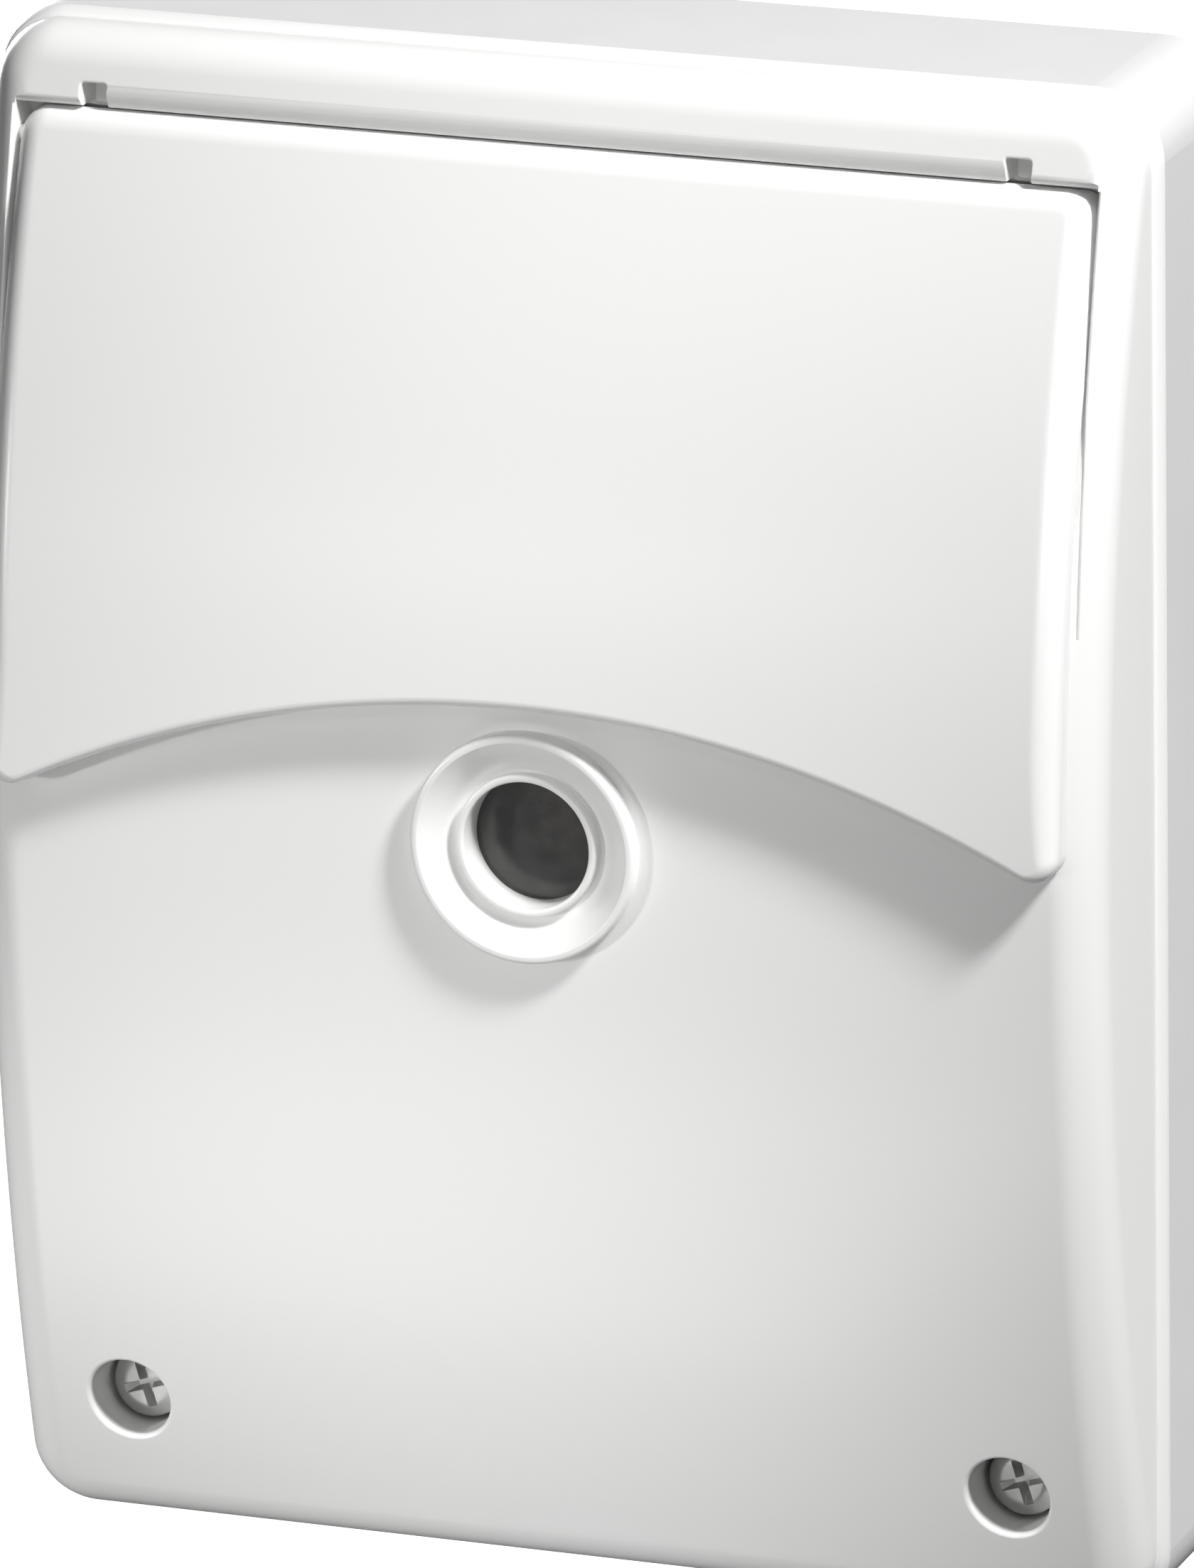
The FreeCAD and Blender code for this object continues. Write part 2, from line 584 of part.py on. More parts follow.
def make_cover_cavity():
    """Hollow behind the cover's face: one wall thick under the lower face, and clear of the flap's bed."""
    inset = "2 * (base_wall + lip_step)"
    outline = rounded_plate("cavity_outline", "case_width - %s" % inset, "case_height - %s" % inset,
                            "inner_corner", "base_depth - lip_depth", "cover_bulge * 2", taper="cover_taper")
    inside = common("cavity_under_face", outline, bow("cavity_dome", "cover_bulge", "cover_bow",
                                                      "cover_wall"))
    upper = box("cavity_upper", "0", "0", "0", "2 * case_width", "base_depth + 3 * cover_bulge",
                "case_height")
    above_bed = cut("cavity_above_bed", upper,
                    bow("cavity_flap_bow", "flap_bulge", "flap_bow", "flap_wall + flap_gap + well_wall"))
    above_hinge = box("cavity_above_hinge", "0", "0",
                      "hinge_height - hinge_barrel - flap_gap - cover_wall / 2",
                      "2 * case_width", "base_depth + 3 * cover_bulge", "case_height")
    return cut("cover_cavity", inside, above_bed, above_hinge)


def make_well_block():
    """Solid round the well, from behind its floor to the face."""
    return rounded_plate("well_outside", "well_width + 2 * well_wall",
                         "well_top - well_bottom + 2 * well_wall", "well_corner + well_wall",
                         "base_depth + well_floor - well_wall", "3 * cover_bulge",
                         z="(well_top + well_bottom) / 2")


def cover_openings():
    """Everything that is cut out of the cover."""
    openings = [rounded_plate("well_inside", "well_width", "well_top - well_bottom", "well_corner",
                              "base_depth + well_floor", "3 * cover_bulge", z="(well_top + well_bottom) / 2")]
    bed_width = "flap_width + 2 * flap_gap"
    bed = box("bed_box", "0", "base_depth", "flap_apex", bed_width, "2 * cover_bulge",
              "bed_top - flap_apex")
    openings.append(cut("bed", bed, bow("bed_bow", "flap_bulge", "flap_bow", "flap_wall + flap_gap")))
    openings.append(rod("bed_trough", "-(%s) / 2" % bed_width, "hinge_out", "hinge_height",
                        "hinge_barrel + flap_gap", bed_width, FACING_RIGHT))
    openings.append(rod("hinge_holes", "-flap_width / 2 - flap_gap - hinge_reach", "hinge_out",
                        "hinge_height",
                        "hinge_pin + hinge_clearance", "flap_width + 2 * flap_gap + 2 * hinge_reach",
                        FACING_RIGHT))
    openings.append(make_bead_roll("bead", "2 * window_place"))
    openings.append(make_bead_roll("corner_bead", bed_width))
    for side, sign in SIDES:
        openings.append(box("flap_window_" + side, "%d * window_place" % sign, "base_depth + window_floor",
                            "hinge_height + hinge_barrel", "window_width", "2 * cover_bulge",
                            "window_height"))
        openings.append(rod("counterbore_" + side, "%d * screw_place" % sign, "screw_seat", "-screw_drop",
                            "counterbore_radius", "2 * cover_bulge"))
        openings.append(rod("cover_screw_hole_" + side, "%d * screw_place" % sign, "0", "-screw_drop",
                            "shank_radius + joint_gap", "screw_seat + counterbore_depth / 2"))
    openings.append(rod("sensor_hole", "0", "0", "sensor_height", "bezel_skirt + joint_gap",
                        "4 * cover_bulge"))
    openings.append(rod("dial_hole", "dial_place", "0", "control_height", "dial_neck + turning_gap",
                        "4 * cover_bulge"))
    openings.append(rod("lamp_hole", "lamp_place", "0", "control_height", "lamp_radius + joint_gap",
                        "4 * cover_bulge"))
    openings.append(box("selector_slot", "selector_place", "0",
                        "control_height - selector_stem / 2 - turning_gap",
                        "2 * selector_travel + selector_stem + 2 * turning_gap", "4 * cover_bulge",
                        "selector_stem + 2 * turning_gap"))
    return openings


def make_bead_roll(bead, width):
    """What is cut off the cover's edge above the flap to leave it rolled, tangent to the bowed face."""
    corner = box(bead + "_corner", "0", bead + "_out", "bed_top", width, "cover_bulge",
                 bead + "_top - bed_top")
    roll = rod(bead + "_rod", "-case_width / 2", bead + "_out", bead + "_axis", bead + "_round", "case_width",
               FACING_RIGHT)
    return cut(bead + "_roll", corner, roll)


# Flap

def make_flap():
    """Bowed flap with an arched lower edge, a skirt behind it, and a barrel with pins along its top."""
    top = "hinge_height + hinge_barrel * hinge_height / (flap_bow - hinge_barrel)"
    blank = common("flap_blank", bow("flap_dome", "flap_bulge", "flap_bow"),
                   box("flap_box", "0", "base_depth", "-case_height / 4", "flap_width", "flap_bulge * 2",
                       "case_height / 4 + " + top))
    arched = cut("flap_arched", blank, rod("flap_arch", "0", "0", "flap_apex - flap_edge_radius",
                                           "flap_edge_radius", "4 * flap_bulge"))
    half = sizes["flap_width"] / 2
    corners = edges_where(arched, lambda edge, middle: abs(abs(middle.x) - half) < ON_SURFACE
                          and middle.z < sizes["flap_apex"] and is_along_y(edge))
    cornered = round_edges("flap_cornered", arched, [(number, sizes["flap_corner"], sizes["flap_corner"])
                                                     for number in corners])
    rounded = round_edges("flap_rounded", cornered, flap_front_edges(cornered))
    skirt_under = common("flap_underside", bow("flap_under_bow", "flap_bulge", "flap_bow", "flap_wall"),
                         bow("flap_on_cover", "cover_bulge + flap_gap", "cover_bow + flap_gap"))
    hollow_box = box("flap_hollow_box", "0", "0", "-case_height / 4", "flap_width - 2 * flap_wall",
                     "base_depth + 2 * flap_bulge", "case_height")
    hollow_plan = cut("flap_hollow_plan", hollow_box, rod("flap_hollow_arch", "0", "-flap_wall",
                      "flap_apex - flap_edge_radius", "flap_edge_radius + flap_wall", "6 * flap_bulge"))
    hollow = common("flap_hollow", hollow_plan, bow("flap_hollow_bow", "flap_bulge", "flap_bow", "flap_wall"))
    lid = cut("flap_lid", rounded, skirt_under, hollow)
    plain_barrel = rod("flap_plain_barrel", "-flap_width / 2", "hinge_out", "hinge_height", "hinge_barrel",
                       "flap_width", FACING_RIGHT)
    ends = edges_where(plain_barrel, lambda edge, middle: abs(abs(middle.x) - half) < ON_SURFACE)
    end_round = sizes["barrel_end_round"]
    barrel = round_edges("flap_barrel", plain_barrel, [(number, end_round, end_round) for number in ends])
    pin_reach = "flap_gap + hinge_reach - joint_gap"
    pins = rod("flap_pins", "-flap_width / 2 - (%s)" % pin_reach, "hinge_out", "hinge_height", "hinge_pin",
               "flap_width + 2 * (%s)" % pin_reach, FACING_RIGHT)
    return finish(fuse("flap_with_hinge", lid, barrel, pins), "setting_flap")


def is_along_y(edge):
    """True for a straight edge from back to front."""
    span = edge.valueAt(edge.LastParameter) - edge.valueAt(edge.FirstParameter)
    return abs(span.y) > 0.9 * edge.Length


def flap_front_edges(body):
    """Edges of the flap's front face with their roundings: wide at the sides, narrow along the arch."""
    document.recompute()
    bow_centre = sizes["base_depth"] + sizes["flap_bulge"] - sizes["flap_bow"]
    half = sizes["flap_width"] / 2
    wide, narrow = sizes["flap_side_round"], sizes["flap_edge_round"]
    found = []
    for number, edge in enumerate(body.Shape.Edges, 1):
        points = [edge.valueAt(edge.FirstParameter), edge.valueAt(
            (edge.FirstParameter + edge.LastParameter) / 2), edge.valueAt(edge.LastParameter)]
        on_face = all(abs(Vector(0, -point.y - bow_centre, point.z).Length - sizes["flap_bow"]) < ON_SURFACE
                      for point in points)
        at_top = all(point.z > sizes["hinge_height"] for point in points)
        if not on_face or at_top:
            continue
        radii = [wide if abs(abs(point.x) - half) < ON_SURFACE else narrow for point in (points[0],
                                                                                         points[2])]
        found.append((number, radii[0], radii[1]))
    return found


# Sensor

def make_bezel():
    """Ring of the light sensor: a bowl with a thin outer lip and a raised inner lip round its bore."""
    face = "base_depth + cover_bulge"
    flange = rod("bezel_flange", "0", face, "sensor_height", "bezel_radius", "bezel_stand")
    skirt = rod("bezel_skirt_rod", "0", face + " - bezel_back", "sensor_height", "bezel_skirt",
                "bezel_back + bezel_stand / 2")
    bowl = document.addObject("Part::Sphere", "bezel_bowl")
    bind(bowl, Radius="sqrt((bezel_radius - bezel_lip) ^ 2 + bowl_centre ^ 2)")
    place(bowl, "0", face + " + bezel_stand + bowl_centre", "sensor_height")
    hollow = cut("bezel_hollowed", fuse("bezel_blank", flange, skirt), bowl)
    lip = rod("bezel_inner_lip", "0", face + " + bezel_stand - bezel_sink - bezel_lip", "sensor_height",
              "bezel_mouth", "bezel_sink / 2 + bezel_lip")
    bore = rod("bezel_bore_rod", "0", "0", "sensor_height", "bezel_bore", "4 * cover_bulge")
    seat = rod("bezel_window_seat", "0", "0", "sensor_height", "bezel_bore + sleeve_wall + joint_gap",
               face + " - bezel_back + window_thickness")
    return finish(cut("bezel_ring", fuse("bezel_with_lip", hollow, lip), bore, seat), "sensor_bezel")


def make_sensor_inside():
    """Clear window behind the ring, a dark sleeve down to the board, and the light cell in it."""
    back = "base_depth + cover_bulge - bezel_back"
    finish(rod("window_disc", "0", back, "sensor_height", "bezel_bore + sleeve_wall", "window_thickness"),
           "sensor_window")
    sleeve = rod("sleeve_outside", "0", "board_front", "sensor_height", "bezel_bore + sleeve_wall",
                 back + " - board_front")
    bore = rod("sleeve_bore", "0", "0", "sensor_height", "bezel_bore", "4 * cover_bulge")
    finish(cut("sleeve_tube", sleeve, bore), "sensor_sleeve")
    finish(rod("cell_disc", "0", "board_front", "sensor_height", "cell_radius", "cell_depth"),
           "photoresistor")


# Controls

def make_dial():
    """Dial with a grip across it, a neck through the well's floor and a hub in the potentiometer."""
    floor = "base_depth + well_floor + turning_gap"
    disc = rod("dial_disc", "dial_place", floor, "control_height", "dial_radius", "dial_plate - turning_gap")
    rim = rod("dial_pointer_cut", "dial_place", floor, "control_height + dial_radius", "dial_grip / 2",
              "dial_rise")
    dial_grip = box("dial_grip_bar", "dial_place", floor, "control_height - dial_radius + dial_grip",
                    "dial_grip",
                    "dial_rise - turning_gap", "2 * dial_radius - 2 * dial_grip")
    neck_start = "board_front + control_body + turning_gap"
    neck = rod("dial_neck_rod", "dial_place", neck_start, "control_height", "dial_neck",
               floor + " - (%s) + dial_plate / 2" % neck_start)
    hub = rod("dial_hub", "dial_place", "board_front + stem_end", "control_height", "shaft_radius",
              "control_body - stem_end + turning_gap + dial_plate / 2")
    return finish(cut("dial", fuse("dial_blank", disc, dial_grip, neck, hub), rim), "lux_dial")


def make_potentiometer():
    """Low potentiometer on the board, with a hole for the dial's hub."""
    body = box("potentiometer_box", "dial_place", "board_front", "control_height - control_side / 2",
               "control_side", "control_body", "control_side")
    hole = rod("potentiometer_hole", "dial_place", "board_front + stem_end / 2", "control_height",
               "shaft_radius + hinge_clearance", "2 * control_body")
    return finish(cut("potentiometer", body, hole), "potentiometer_body")


def make_selector():
    """Selector knob with a ribbed top, and a stem down into the slide switch."""
    floor = "base_depth + well_floor + turning_gap"
    knob = box("selector_knob", "selector_place", floor, "control_height - selector_height / 2",
               "selector_width", "selector_rise - turning_gap", "selector_height")
    stem = box("selector_stem_box", "selector_place", "board_front + stem_end",
               "control_height - selector_stem / 2", "selector_stem",
               floor + " - board_front - stem_end + selector_rise / 2", "selector_stem")
    grooves = [box("selector_groove_%d" % groove, "selector_place + %d * selector_width / 4" % groove,
                   floor + " + selector_rise - 2 * turning_gap", "control_height - selector_height",
                   "selector_width / 10", "selector_rise", "2 * selector_height") for groove in (-1, 0, 1)]
    return finish(cut("selector", fuse("selector_blank", knob, stem), *grooves), "mode_selector")


def make_switch_body():
    """Slide switch on the board, with a slot for the selector's stem."""
    travel = "2 * selector_travel + selector_stem"
    body = box("switch_box", "selector_place", "board_front", "control_height - selector_stem",
               travel + " + 2 * switch_margin", "control_body", "2 * selector_stem")
    slot = box("switch_slot", "selector_place", "board_front + stem_end / 2",
               "control_height - selector_stem / 2 - turning_gap", travel + " + 2 * turning_gap",
               "control_body", "selector_stem + 2 * turning_gap")
    return finish(cut("switch_body", body, slot), "selector_switch_body")


def make_lamp():
    """Signal lamp on the board and its light guide, which looks out of the well's floor."""
    back = "base_depth + well_floor - well_wall"
    lamp = rod("lamp_rod", "lamp_place", "board_front", "control_height", "lamp_radius", "lamp_height")
    finish(lamp, "status_lamp")
    guide = rod("guide_rod", "lamp_place", "board_front + lamp_height + joint_gap", "control_height",
                "lamp_radius", back + " + well_wall - board_front - lamp_height + turning_gap")
    flange = rod("guide_flange", "lamp_place", back + " - guide_collar_depth", "control_height",
                 "lamp_radius + guide_collar", "guide_collar_depth")
    return finish(fuse("light_guide", guide, flange), "lamp_light_guide")


# Electronics

def make_board():
    """Circuit board on four posts."""
    board = rounded_plate("board_plate", "board_width", "board_top - board_bottom", "board_margin / 2",
                          "board_back", "board_thickness", z="(board_top + board_bottom) / 2")
    holes = [rod("board_hole_%s_%s" % (side, end), board_screw_place(sign), "0", level,
                 "board_screw + joint_gap", "2 * board_back") for side, sign in SIDES for end,
                 level in BOARD_ENDS]
    return finish(cut("board", board, *holes), "circuit_board")


def cross_recess(name, x, top, z, width, reach, depth):
    """Cross that is cut into a screw head whose top lies at a distance from the wall."""
    floor = "(%s) - (%s)" % (top, depth)
    across = box(name + "_across", x, floor, "(%s) - (%s) / 2" % (z, width), reach, depth, width)
    upright = box(name + "_upright", x, floor, "(%s) - (%s) / 2" % (z, reach), width, depth, reach)
    return [across, upright]


def make_screw(name, x, seat, z, head, head_depth, shank, length):
    """Cross-recessed screw whose head sits at a distance from the wall."""
    top = rod(name + "_head", x, seat, z, head, head_depth)
    stem = rod(name + "_shank", x, "(%s) - (%s)" % (seat, length), z, shank,
               "(%s) + (%s) / 2" % (length, head_depth))
    recess = cross_recess(name + "_cross", x, "(%s) + (%s)" % (seat, head_depth), z, "screw_slot",
                          "screw_slot_length", "screw_slot_depth")
    return cut(name, fuse(name + "_blank", top, stem), *recess)


def make_screws():
    """Four board screws, two cover screws, and the sealing rings under the cover screws."""
    finish(group("board_screw_group", *[make_screw(
        "board_screw_%s_%s" % (side, end), board_screw_place(sign), "board_front", level, "board_screw_head",
        "board_screw_depth", "board_screw", "board_screw_length")
        for side, sign in SIDES for end, level in BOARD_ENDS]), "board_screws")
    finish(group("cover_screw_group", *[make_screw(
        "cover_screw_" + side, "%d * screw_place" % sign, "screw_seat + washer_depth", "-screw_drop",
        "head_radius", "head_depth", "shank_radius", "shank_length") for side, sign in SIDES]),
        "cover_screws")
    rings = []
    for side, sign in SIDES:
        x = "%d * screw_place" % sign
        ring = rod("ring_outside_" + side, x, "screw_seat", "-screw_drop", "counterbore_radius - joint_gap",
                   "washer_depth")
        hole = rod("ring_hole_" + side, x, "0", "-screw_drop", "shank_radius + joint_gap", "3 * cover_bulge")
        rings.append(cut("ring_" + side, ring, hole))
    return finish(group("ring_group", *rings), "screw_seals")


def make_power_parts():
    """Mains side, on the back of the board: relay, capacitors, varistor, fuse, rectifier and resistor."""
    finish(box("relay_box", "relay_place", "board_back - relay_depth", "relay_level", "relay_width",
               "relay_depth", "relay_height"), "relay")
    finish(box("film_box", "film_place", "board_back - film_depth", "film_level", "film_width", "film_depth",
               "film_height"), "film_capacitor")
    finish(rod("can_rod", "can_place", "board_back - can_radius - solder_gap", "can_level", "can_radius",
               "can_length", FACING_RIGHT), "electrolytic_capacitor")
    finish(rod("varistor_disc", "disc_place", "board_back - disc_depth - solder_gap", "disc_level",
               "disc_radius",
               "disc_depth"), "varistor")
    tube = rod("fuse_tube", "fuse_place", "board_back - fuse_radius - solder_gap", "fuse_level",
               "fuse_radius - joint_gap", "fuse_length", FACING_RIGHT)
    caps = [rod("fuse_cap_" + end, start, "board_back - fuse_radius - solder_gap", "fuse_level",
                "fuse_radius",
                "fuse_cap", FACING_RIGHT)
            for end, start in (("left", "fuse_place"), ("right", "fuse_place + fuse_length - fuse_cap"))]
    finish(fuse("fuse_body", tube, *caps), "fuse")
    finish(rod("bridge_can", "bridge_place", "board_back - bridge_depth", "bridge_level", "bridge_radius",
               "bridge_depth"), "bridge_rectifier")
    finish(rod("resistor_rod", "resistor_place", "board_back - resistor_radius - solder_gap",
               "resistor_level",
               "resistor_radius", "resistor_length", FACING_RIGHT), "series_resistor")


def make_chip():
    """Control chip with two rows of pins, on the front of the board."""
    body = box("chip_box", "chip_place", "board_front + joint_gap", "chip_level", "chip_width", "chip_depth",
               "chip_height")
    pins = []
    for pin in range(int(sizes["chip_pins"])):
        x = "chip_place + (%d - (chip_pins - 1) / 2) * chip_pitch" % pin
        pins.append(box("chip_pin_%d" % pin, x, "board_front", "chip_level - chip_pin_reach",
                        "chip_pitch / 3",
                        "chip_depth / 2", "chip_height + 2 * chip_pin_reach"))
    return finish(fuse("chip", body, *pins), "control_chip")


# Terminals

def pole(number):
    """Sideways place of a terminal, as a formula."""
    return "(%d - (pole_count - 1) / 2) * pole_pitch" % number


def make_terminals():
    """Terminal block on the base's floor, with a clamp, a screw and a tail to the board for each pole."""
    block = box("block_box", "0", "block_back", "block_bottom", "pole_pitch * pole_count + 2 * block_end",
                "block_front - block_back", "block_height")
    middle = "block_bottom + clamp_inset + clamp_height / 2"
    holes, clamps, screws, tails = [], [], [], []
    for number in range(int(sizes["pole_count"])):
        x = pole(number)
        holes.append(box("block_pocket_%d" % number, x, "clamp_back - joint_gap",
                         "block_bottom + clamp_inset - joint_gap", "clamp_width + 2 * joint_gap",
                         "clamp_front - clamp_back + 2 * joint_gap", "clamp_height + 2 * joint_gap"))
        holes.append(box("block_wire_hole_%d" % number, x, "wire_depth - wire_radius - wire_funnel",
                         "block_bottom - clamp_inset", "2 * (wire_radius + wire_funnel)",
                         "2 * (wire_radius + wire_funnel)", "2.5 * clamp_inset"))
        holes.append(rod("block_screw_hole_%d" % number, x, "clamp_front", middle,
                         "terminal_head + joint_gap", "block_front"))
        frame = box("clamp_box_%d" % number, x, "clamp_back", "block_bottom + clamp_inset", "clamp_width",
                    "clamp_front - clamp_back", "clamp_height")
        wire = box("clamp_wire_hole_%d" % number, x, "wire_depth - wire_radius", "block_bottom",
                   "2 * wire_radius", "2 * wire_radius", "2 * clamp_height")
        thread = rod("clamp_thread_%d" % number, x, "wire_depth", middle, "terminal_screw + joint_gap / 2",
                     "clamp_front")
        clamps.append(cut("clamp_%d" % number, frame, wire, thread))
        head = rod("terminal_head_%d" % number, x, "clamp_front", middle, "terminal_head",
                   "terminal_head_depth")
        shank = rod("terminal_shank_%d" % number, x, "wire_depth + wire_radius / 2", middle, "terminal_screw",
                    "clamp_front - wire_depth - wire_radius / 2 + joint_gap")
        slot = box("terminal_slot_%d" % number, x, "clamp_front + terminal_head_depth / 2",
                   middle + " - screw_slot / 2", "3 * terminal_head", "terminal_head_depth", "screw_slot")
        screws.append(cut("terminal_screw_%d" % number, fuse("terminal_blank_%d" % number, head, shank),
                          slot))
        bar = box("tail_bar_%d" % number, x, "board_back - 2 * tail_thickness",
                  "block_bottom + block_height", "tail_width", "tail_thickness",
                  "board_bottom + tail_overlap - block_bottom - block_height")
        foot = box("tail_foot_%d" % number, x, "board_back - tail_thickness - joint_gap",
                   "board_bottom + tail_overlap - tail_thickness", "tail_width", "tail_thickness + joint_gap",
                   "tail_thickness")
        tails.append(fuse("tail_%d" % number, bar, foot))
    finish(cut("block", block, *holes), "terminal_block")
    finish(group("clamp_group", *clamps), "terminal_clamps")
    finish(group("terminal_screw_group", *screws), "terminal_screws")
    return finish(group("tail_group", *tails), "terminal_tails")


write_sizes()
set_derived_sizes()
document.recompute()
make_base()
make_seal()
make_grommets()
make_cover()
make_flap()
make_bezel()
make_sensor_inside()
make_dial()
make_potentiometer()
make_selector()
make_switch_body()
make_lamp()
make_board()
make_screws()
make_power_parts()
make_chip()
make_terminals()
document.recompute()
check_features()
write_parts()
for piece in sub_parts:
    print(piece.Label, len(piece.Shape.Solids), round(piece.Shape.Volume, 1), piece.Shape.isValid())
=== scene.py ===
"""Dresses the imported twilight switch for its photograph.

The frame gives every solid of the switch in metres, with the wall at Y 0 and the front towards -Y.
The bowed cover, the flap over the settings, the sensor's ring and window and the cover screws are worked
out again here as smooth surfaces, and every other solid keeps its shape and takes a finish.
"""

import math

import bmesh  # noqa: E402
import bpy  # noqa: E402
import numpy as np  # noqa: E402
from mathutils import Matrix, Vector  # noqa: E402


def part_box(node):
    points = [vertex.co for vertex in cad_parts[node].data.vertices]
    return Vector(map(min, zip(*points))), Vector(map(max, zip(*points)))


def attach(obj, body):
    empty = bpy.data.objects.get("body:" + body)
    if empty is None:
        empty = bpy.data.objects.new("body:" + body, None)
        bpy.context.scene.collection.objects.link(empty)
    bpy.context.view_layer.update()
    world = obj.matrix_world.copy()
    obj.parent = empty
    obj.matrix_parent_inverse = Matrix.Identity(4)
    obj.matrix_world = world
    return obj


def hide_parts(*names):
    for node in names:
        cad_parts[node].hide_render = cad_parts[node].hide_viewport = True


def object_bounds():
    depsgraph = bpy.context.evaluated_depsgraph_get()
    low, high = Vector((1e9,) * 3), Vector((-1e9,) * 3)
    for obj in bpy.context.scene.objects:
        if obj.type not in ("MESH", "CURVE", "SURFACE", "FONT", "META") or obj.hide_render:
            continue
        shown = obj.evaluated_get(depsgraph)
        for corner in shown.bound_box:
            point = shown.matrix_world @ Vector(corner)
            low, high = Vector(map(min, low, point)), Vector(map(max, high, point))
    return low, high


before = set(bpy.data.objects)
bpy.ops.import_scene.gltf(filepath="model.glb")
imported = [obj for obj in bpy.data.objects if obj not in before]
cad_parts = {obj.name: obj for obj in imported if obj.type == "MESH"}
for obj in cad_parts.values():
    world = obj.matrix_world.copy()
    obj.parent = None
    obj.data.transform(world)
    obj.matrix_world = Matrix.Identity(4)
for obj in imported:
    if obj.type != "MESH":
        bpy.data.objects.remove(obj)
CAD_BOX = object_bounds()

bl_info = {
    "name": "Twilight switch",
    "version": (1, 0, 0),
    "blender": (4, 5, 0),
    "location": "View3D > Sidebar > Twilight switch",
    "description": "Dresses the packed twilight switch with smooth shells, finishes and studio light",
    "category": "Object",
}

MM = 0.001

# Sizes in millimetres, as in the part's sheet

BASE_DEPTH = 15.0
CASE_HALF, CASE_CORNER = (42.5, 55.0), 5.0
LIP_STEP, LIP_DEPTH = 0.35, 1.0
COVER_BULGE, COVER_BOW, COVER_DRAFT = 11.7, 190.0, math.radians(5.0)
COVER_WALL, HOLLOW_HALF, HOLLOW_BOTTOM, HOLLOW_CORNER = 2.0, 39.75, -52.25, 3.2
FLAP_BULGE, FLAP_BOW, FLAP_WALL, FLAP_GAP = 14.6, 134.0, 2.0, 0.3
FLAP_HALF, EDGE_TAKEN = 39.25, 0.1  # the shown flap takes up part of its gap at the sides and the top
FLAP_APEX, FLAP_ARCH, FLAP_CORNER, FLAP_LOW_ROUND = 11.3, 83.4, 1.8, 1.5
FLAP_HOLLOW_TOP = 22.3
HINGE_HEIGHT, HINGE_BARREL, HINGE_PIN, PIN_REACH = 46.75, 2.1, 0.6, 0.9
HINGE_HOLE, HINGE_HOLE_DEPTH = 0.66, 0.7
BED_LOW, BED_TOP = 19.0, HINGE_HEIGHT + HINGE_BARREL + FLAP_GAP
WELL_HALF, WELL_MIDDLE, WELL_CORNER = (31.0, 11.0), (0.0, 27.0), 3.0
WELL_FLOOR, WELL_WALL = 21.0, 1.6
BEAD_TOP, BEAD_ROUND = 51.0, 2.2
CORNER_BEAD_TOP, CORNER_BEAD_ROUND = 50.034, 0.7
WINDOW_HALF, WINDOW_CORNER, WINDOW_RIM = (0.95, 1.0), 0.25, 0.2
WINDOW_PLACE, WINDOW_FLOOR = (33.75, 49.85), 17.0
CONTROL_HEIGHT, CONTROL_FRONT = 26.0, 22.0
DIAL_PLACE, DIAL_HOLE = -15.0, 3.65
SLOT_PLACE, SLOT_HALF = 12.0, (5.45, 1.45)
LAMP_PLACE, LAMP_HOLE = 26.0, 1.6
SENSOR_PLACE, SENSOR_HOLE = (0.0, 1.0), 7.3
RING_BORE, RING_LIP, RING_BOWL, RING_OUTER = 4.6, 5.15, 7.7, 8.25
RING_SEAT, RING_RISE, RING_SUNK = 7.2, 0.3, 0.03
BOWL_CENTRE, BOWL_RADIUS = 9.4, 11.25
PANE_BACK, PANE_FRONT, PANE_RADIUS, PANE_ROOM = 23.1, 24.3, 5.5, 5.6
SCREW_PLACE, SCREW_HOLE, SCREW_TUBE = (32.85, -44.8), 1.6, 4.6
BORE_RADIUS, BORE_DEPTH = 3.0, 5.2
HEAD_RADIUS, HEAD_SIDE, HEAD_HEIGHT, HEAD_DEPTH = 2.65, 1.25, 1.7, 4.8
CROSS_HALF, CROSS_TURN = (1.65, 0.35), 0.3
THREAD_CREST, THREAD_DEPTH, THREAD_PITCH = 1.48, 0.32, 1.05
THREAD_END, THREAD_TIP = 4.55, 1.6
ENDS = (-1.0, 1.0)
NEAR, FAR, MOUTH_TOP = 5.0, 40.0, 45.0  # behind and in front of every wall that a cutter passes
AXIS = 1e-4  # the radius at which a turned profile meets its axis
PROBE = 0.01  # the step to both sides for measuring a slope
OVERCUT = 0.004  # how far a rounded rim passes the surface it meets

# Places of the studio in metres and degrees

AIM, AIM_RIGHT, AIM_UP = (0.0, -0.015, -0.00045), 0.0007347, 0.0023075
FLOOR_SIZE, FLOOR_DROP, FADE_START, FADE_END = 6.0, 0.03, 0.1, 0.45
MIDDLE = (0.0, -0.02, 0.0)
UNDER_PLACE, UNDER_TARGET, UNDER_SIZE = (-0.04, -0.11, -0.08), (-0.04, -0.11, 0.0), 0.08
SPOT_DISTANCE, SPOT_RADIUS = 0.8, 0.05

# Soft boxes round the middle: name, azimuth, elevation, distance, size

BOXES = (
    ("key", 65.6, 48.0, 0.6, 0.075),
    ("top", 0.0, 75.0, 0.4, 0.25),
    ("back", -135.0, 6.0, 0.8, 0.35),
)

# Spots on the front: name, azimuth, elevation, target, cone, share of the brightest spot's power

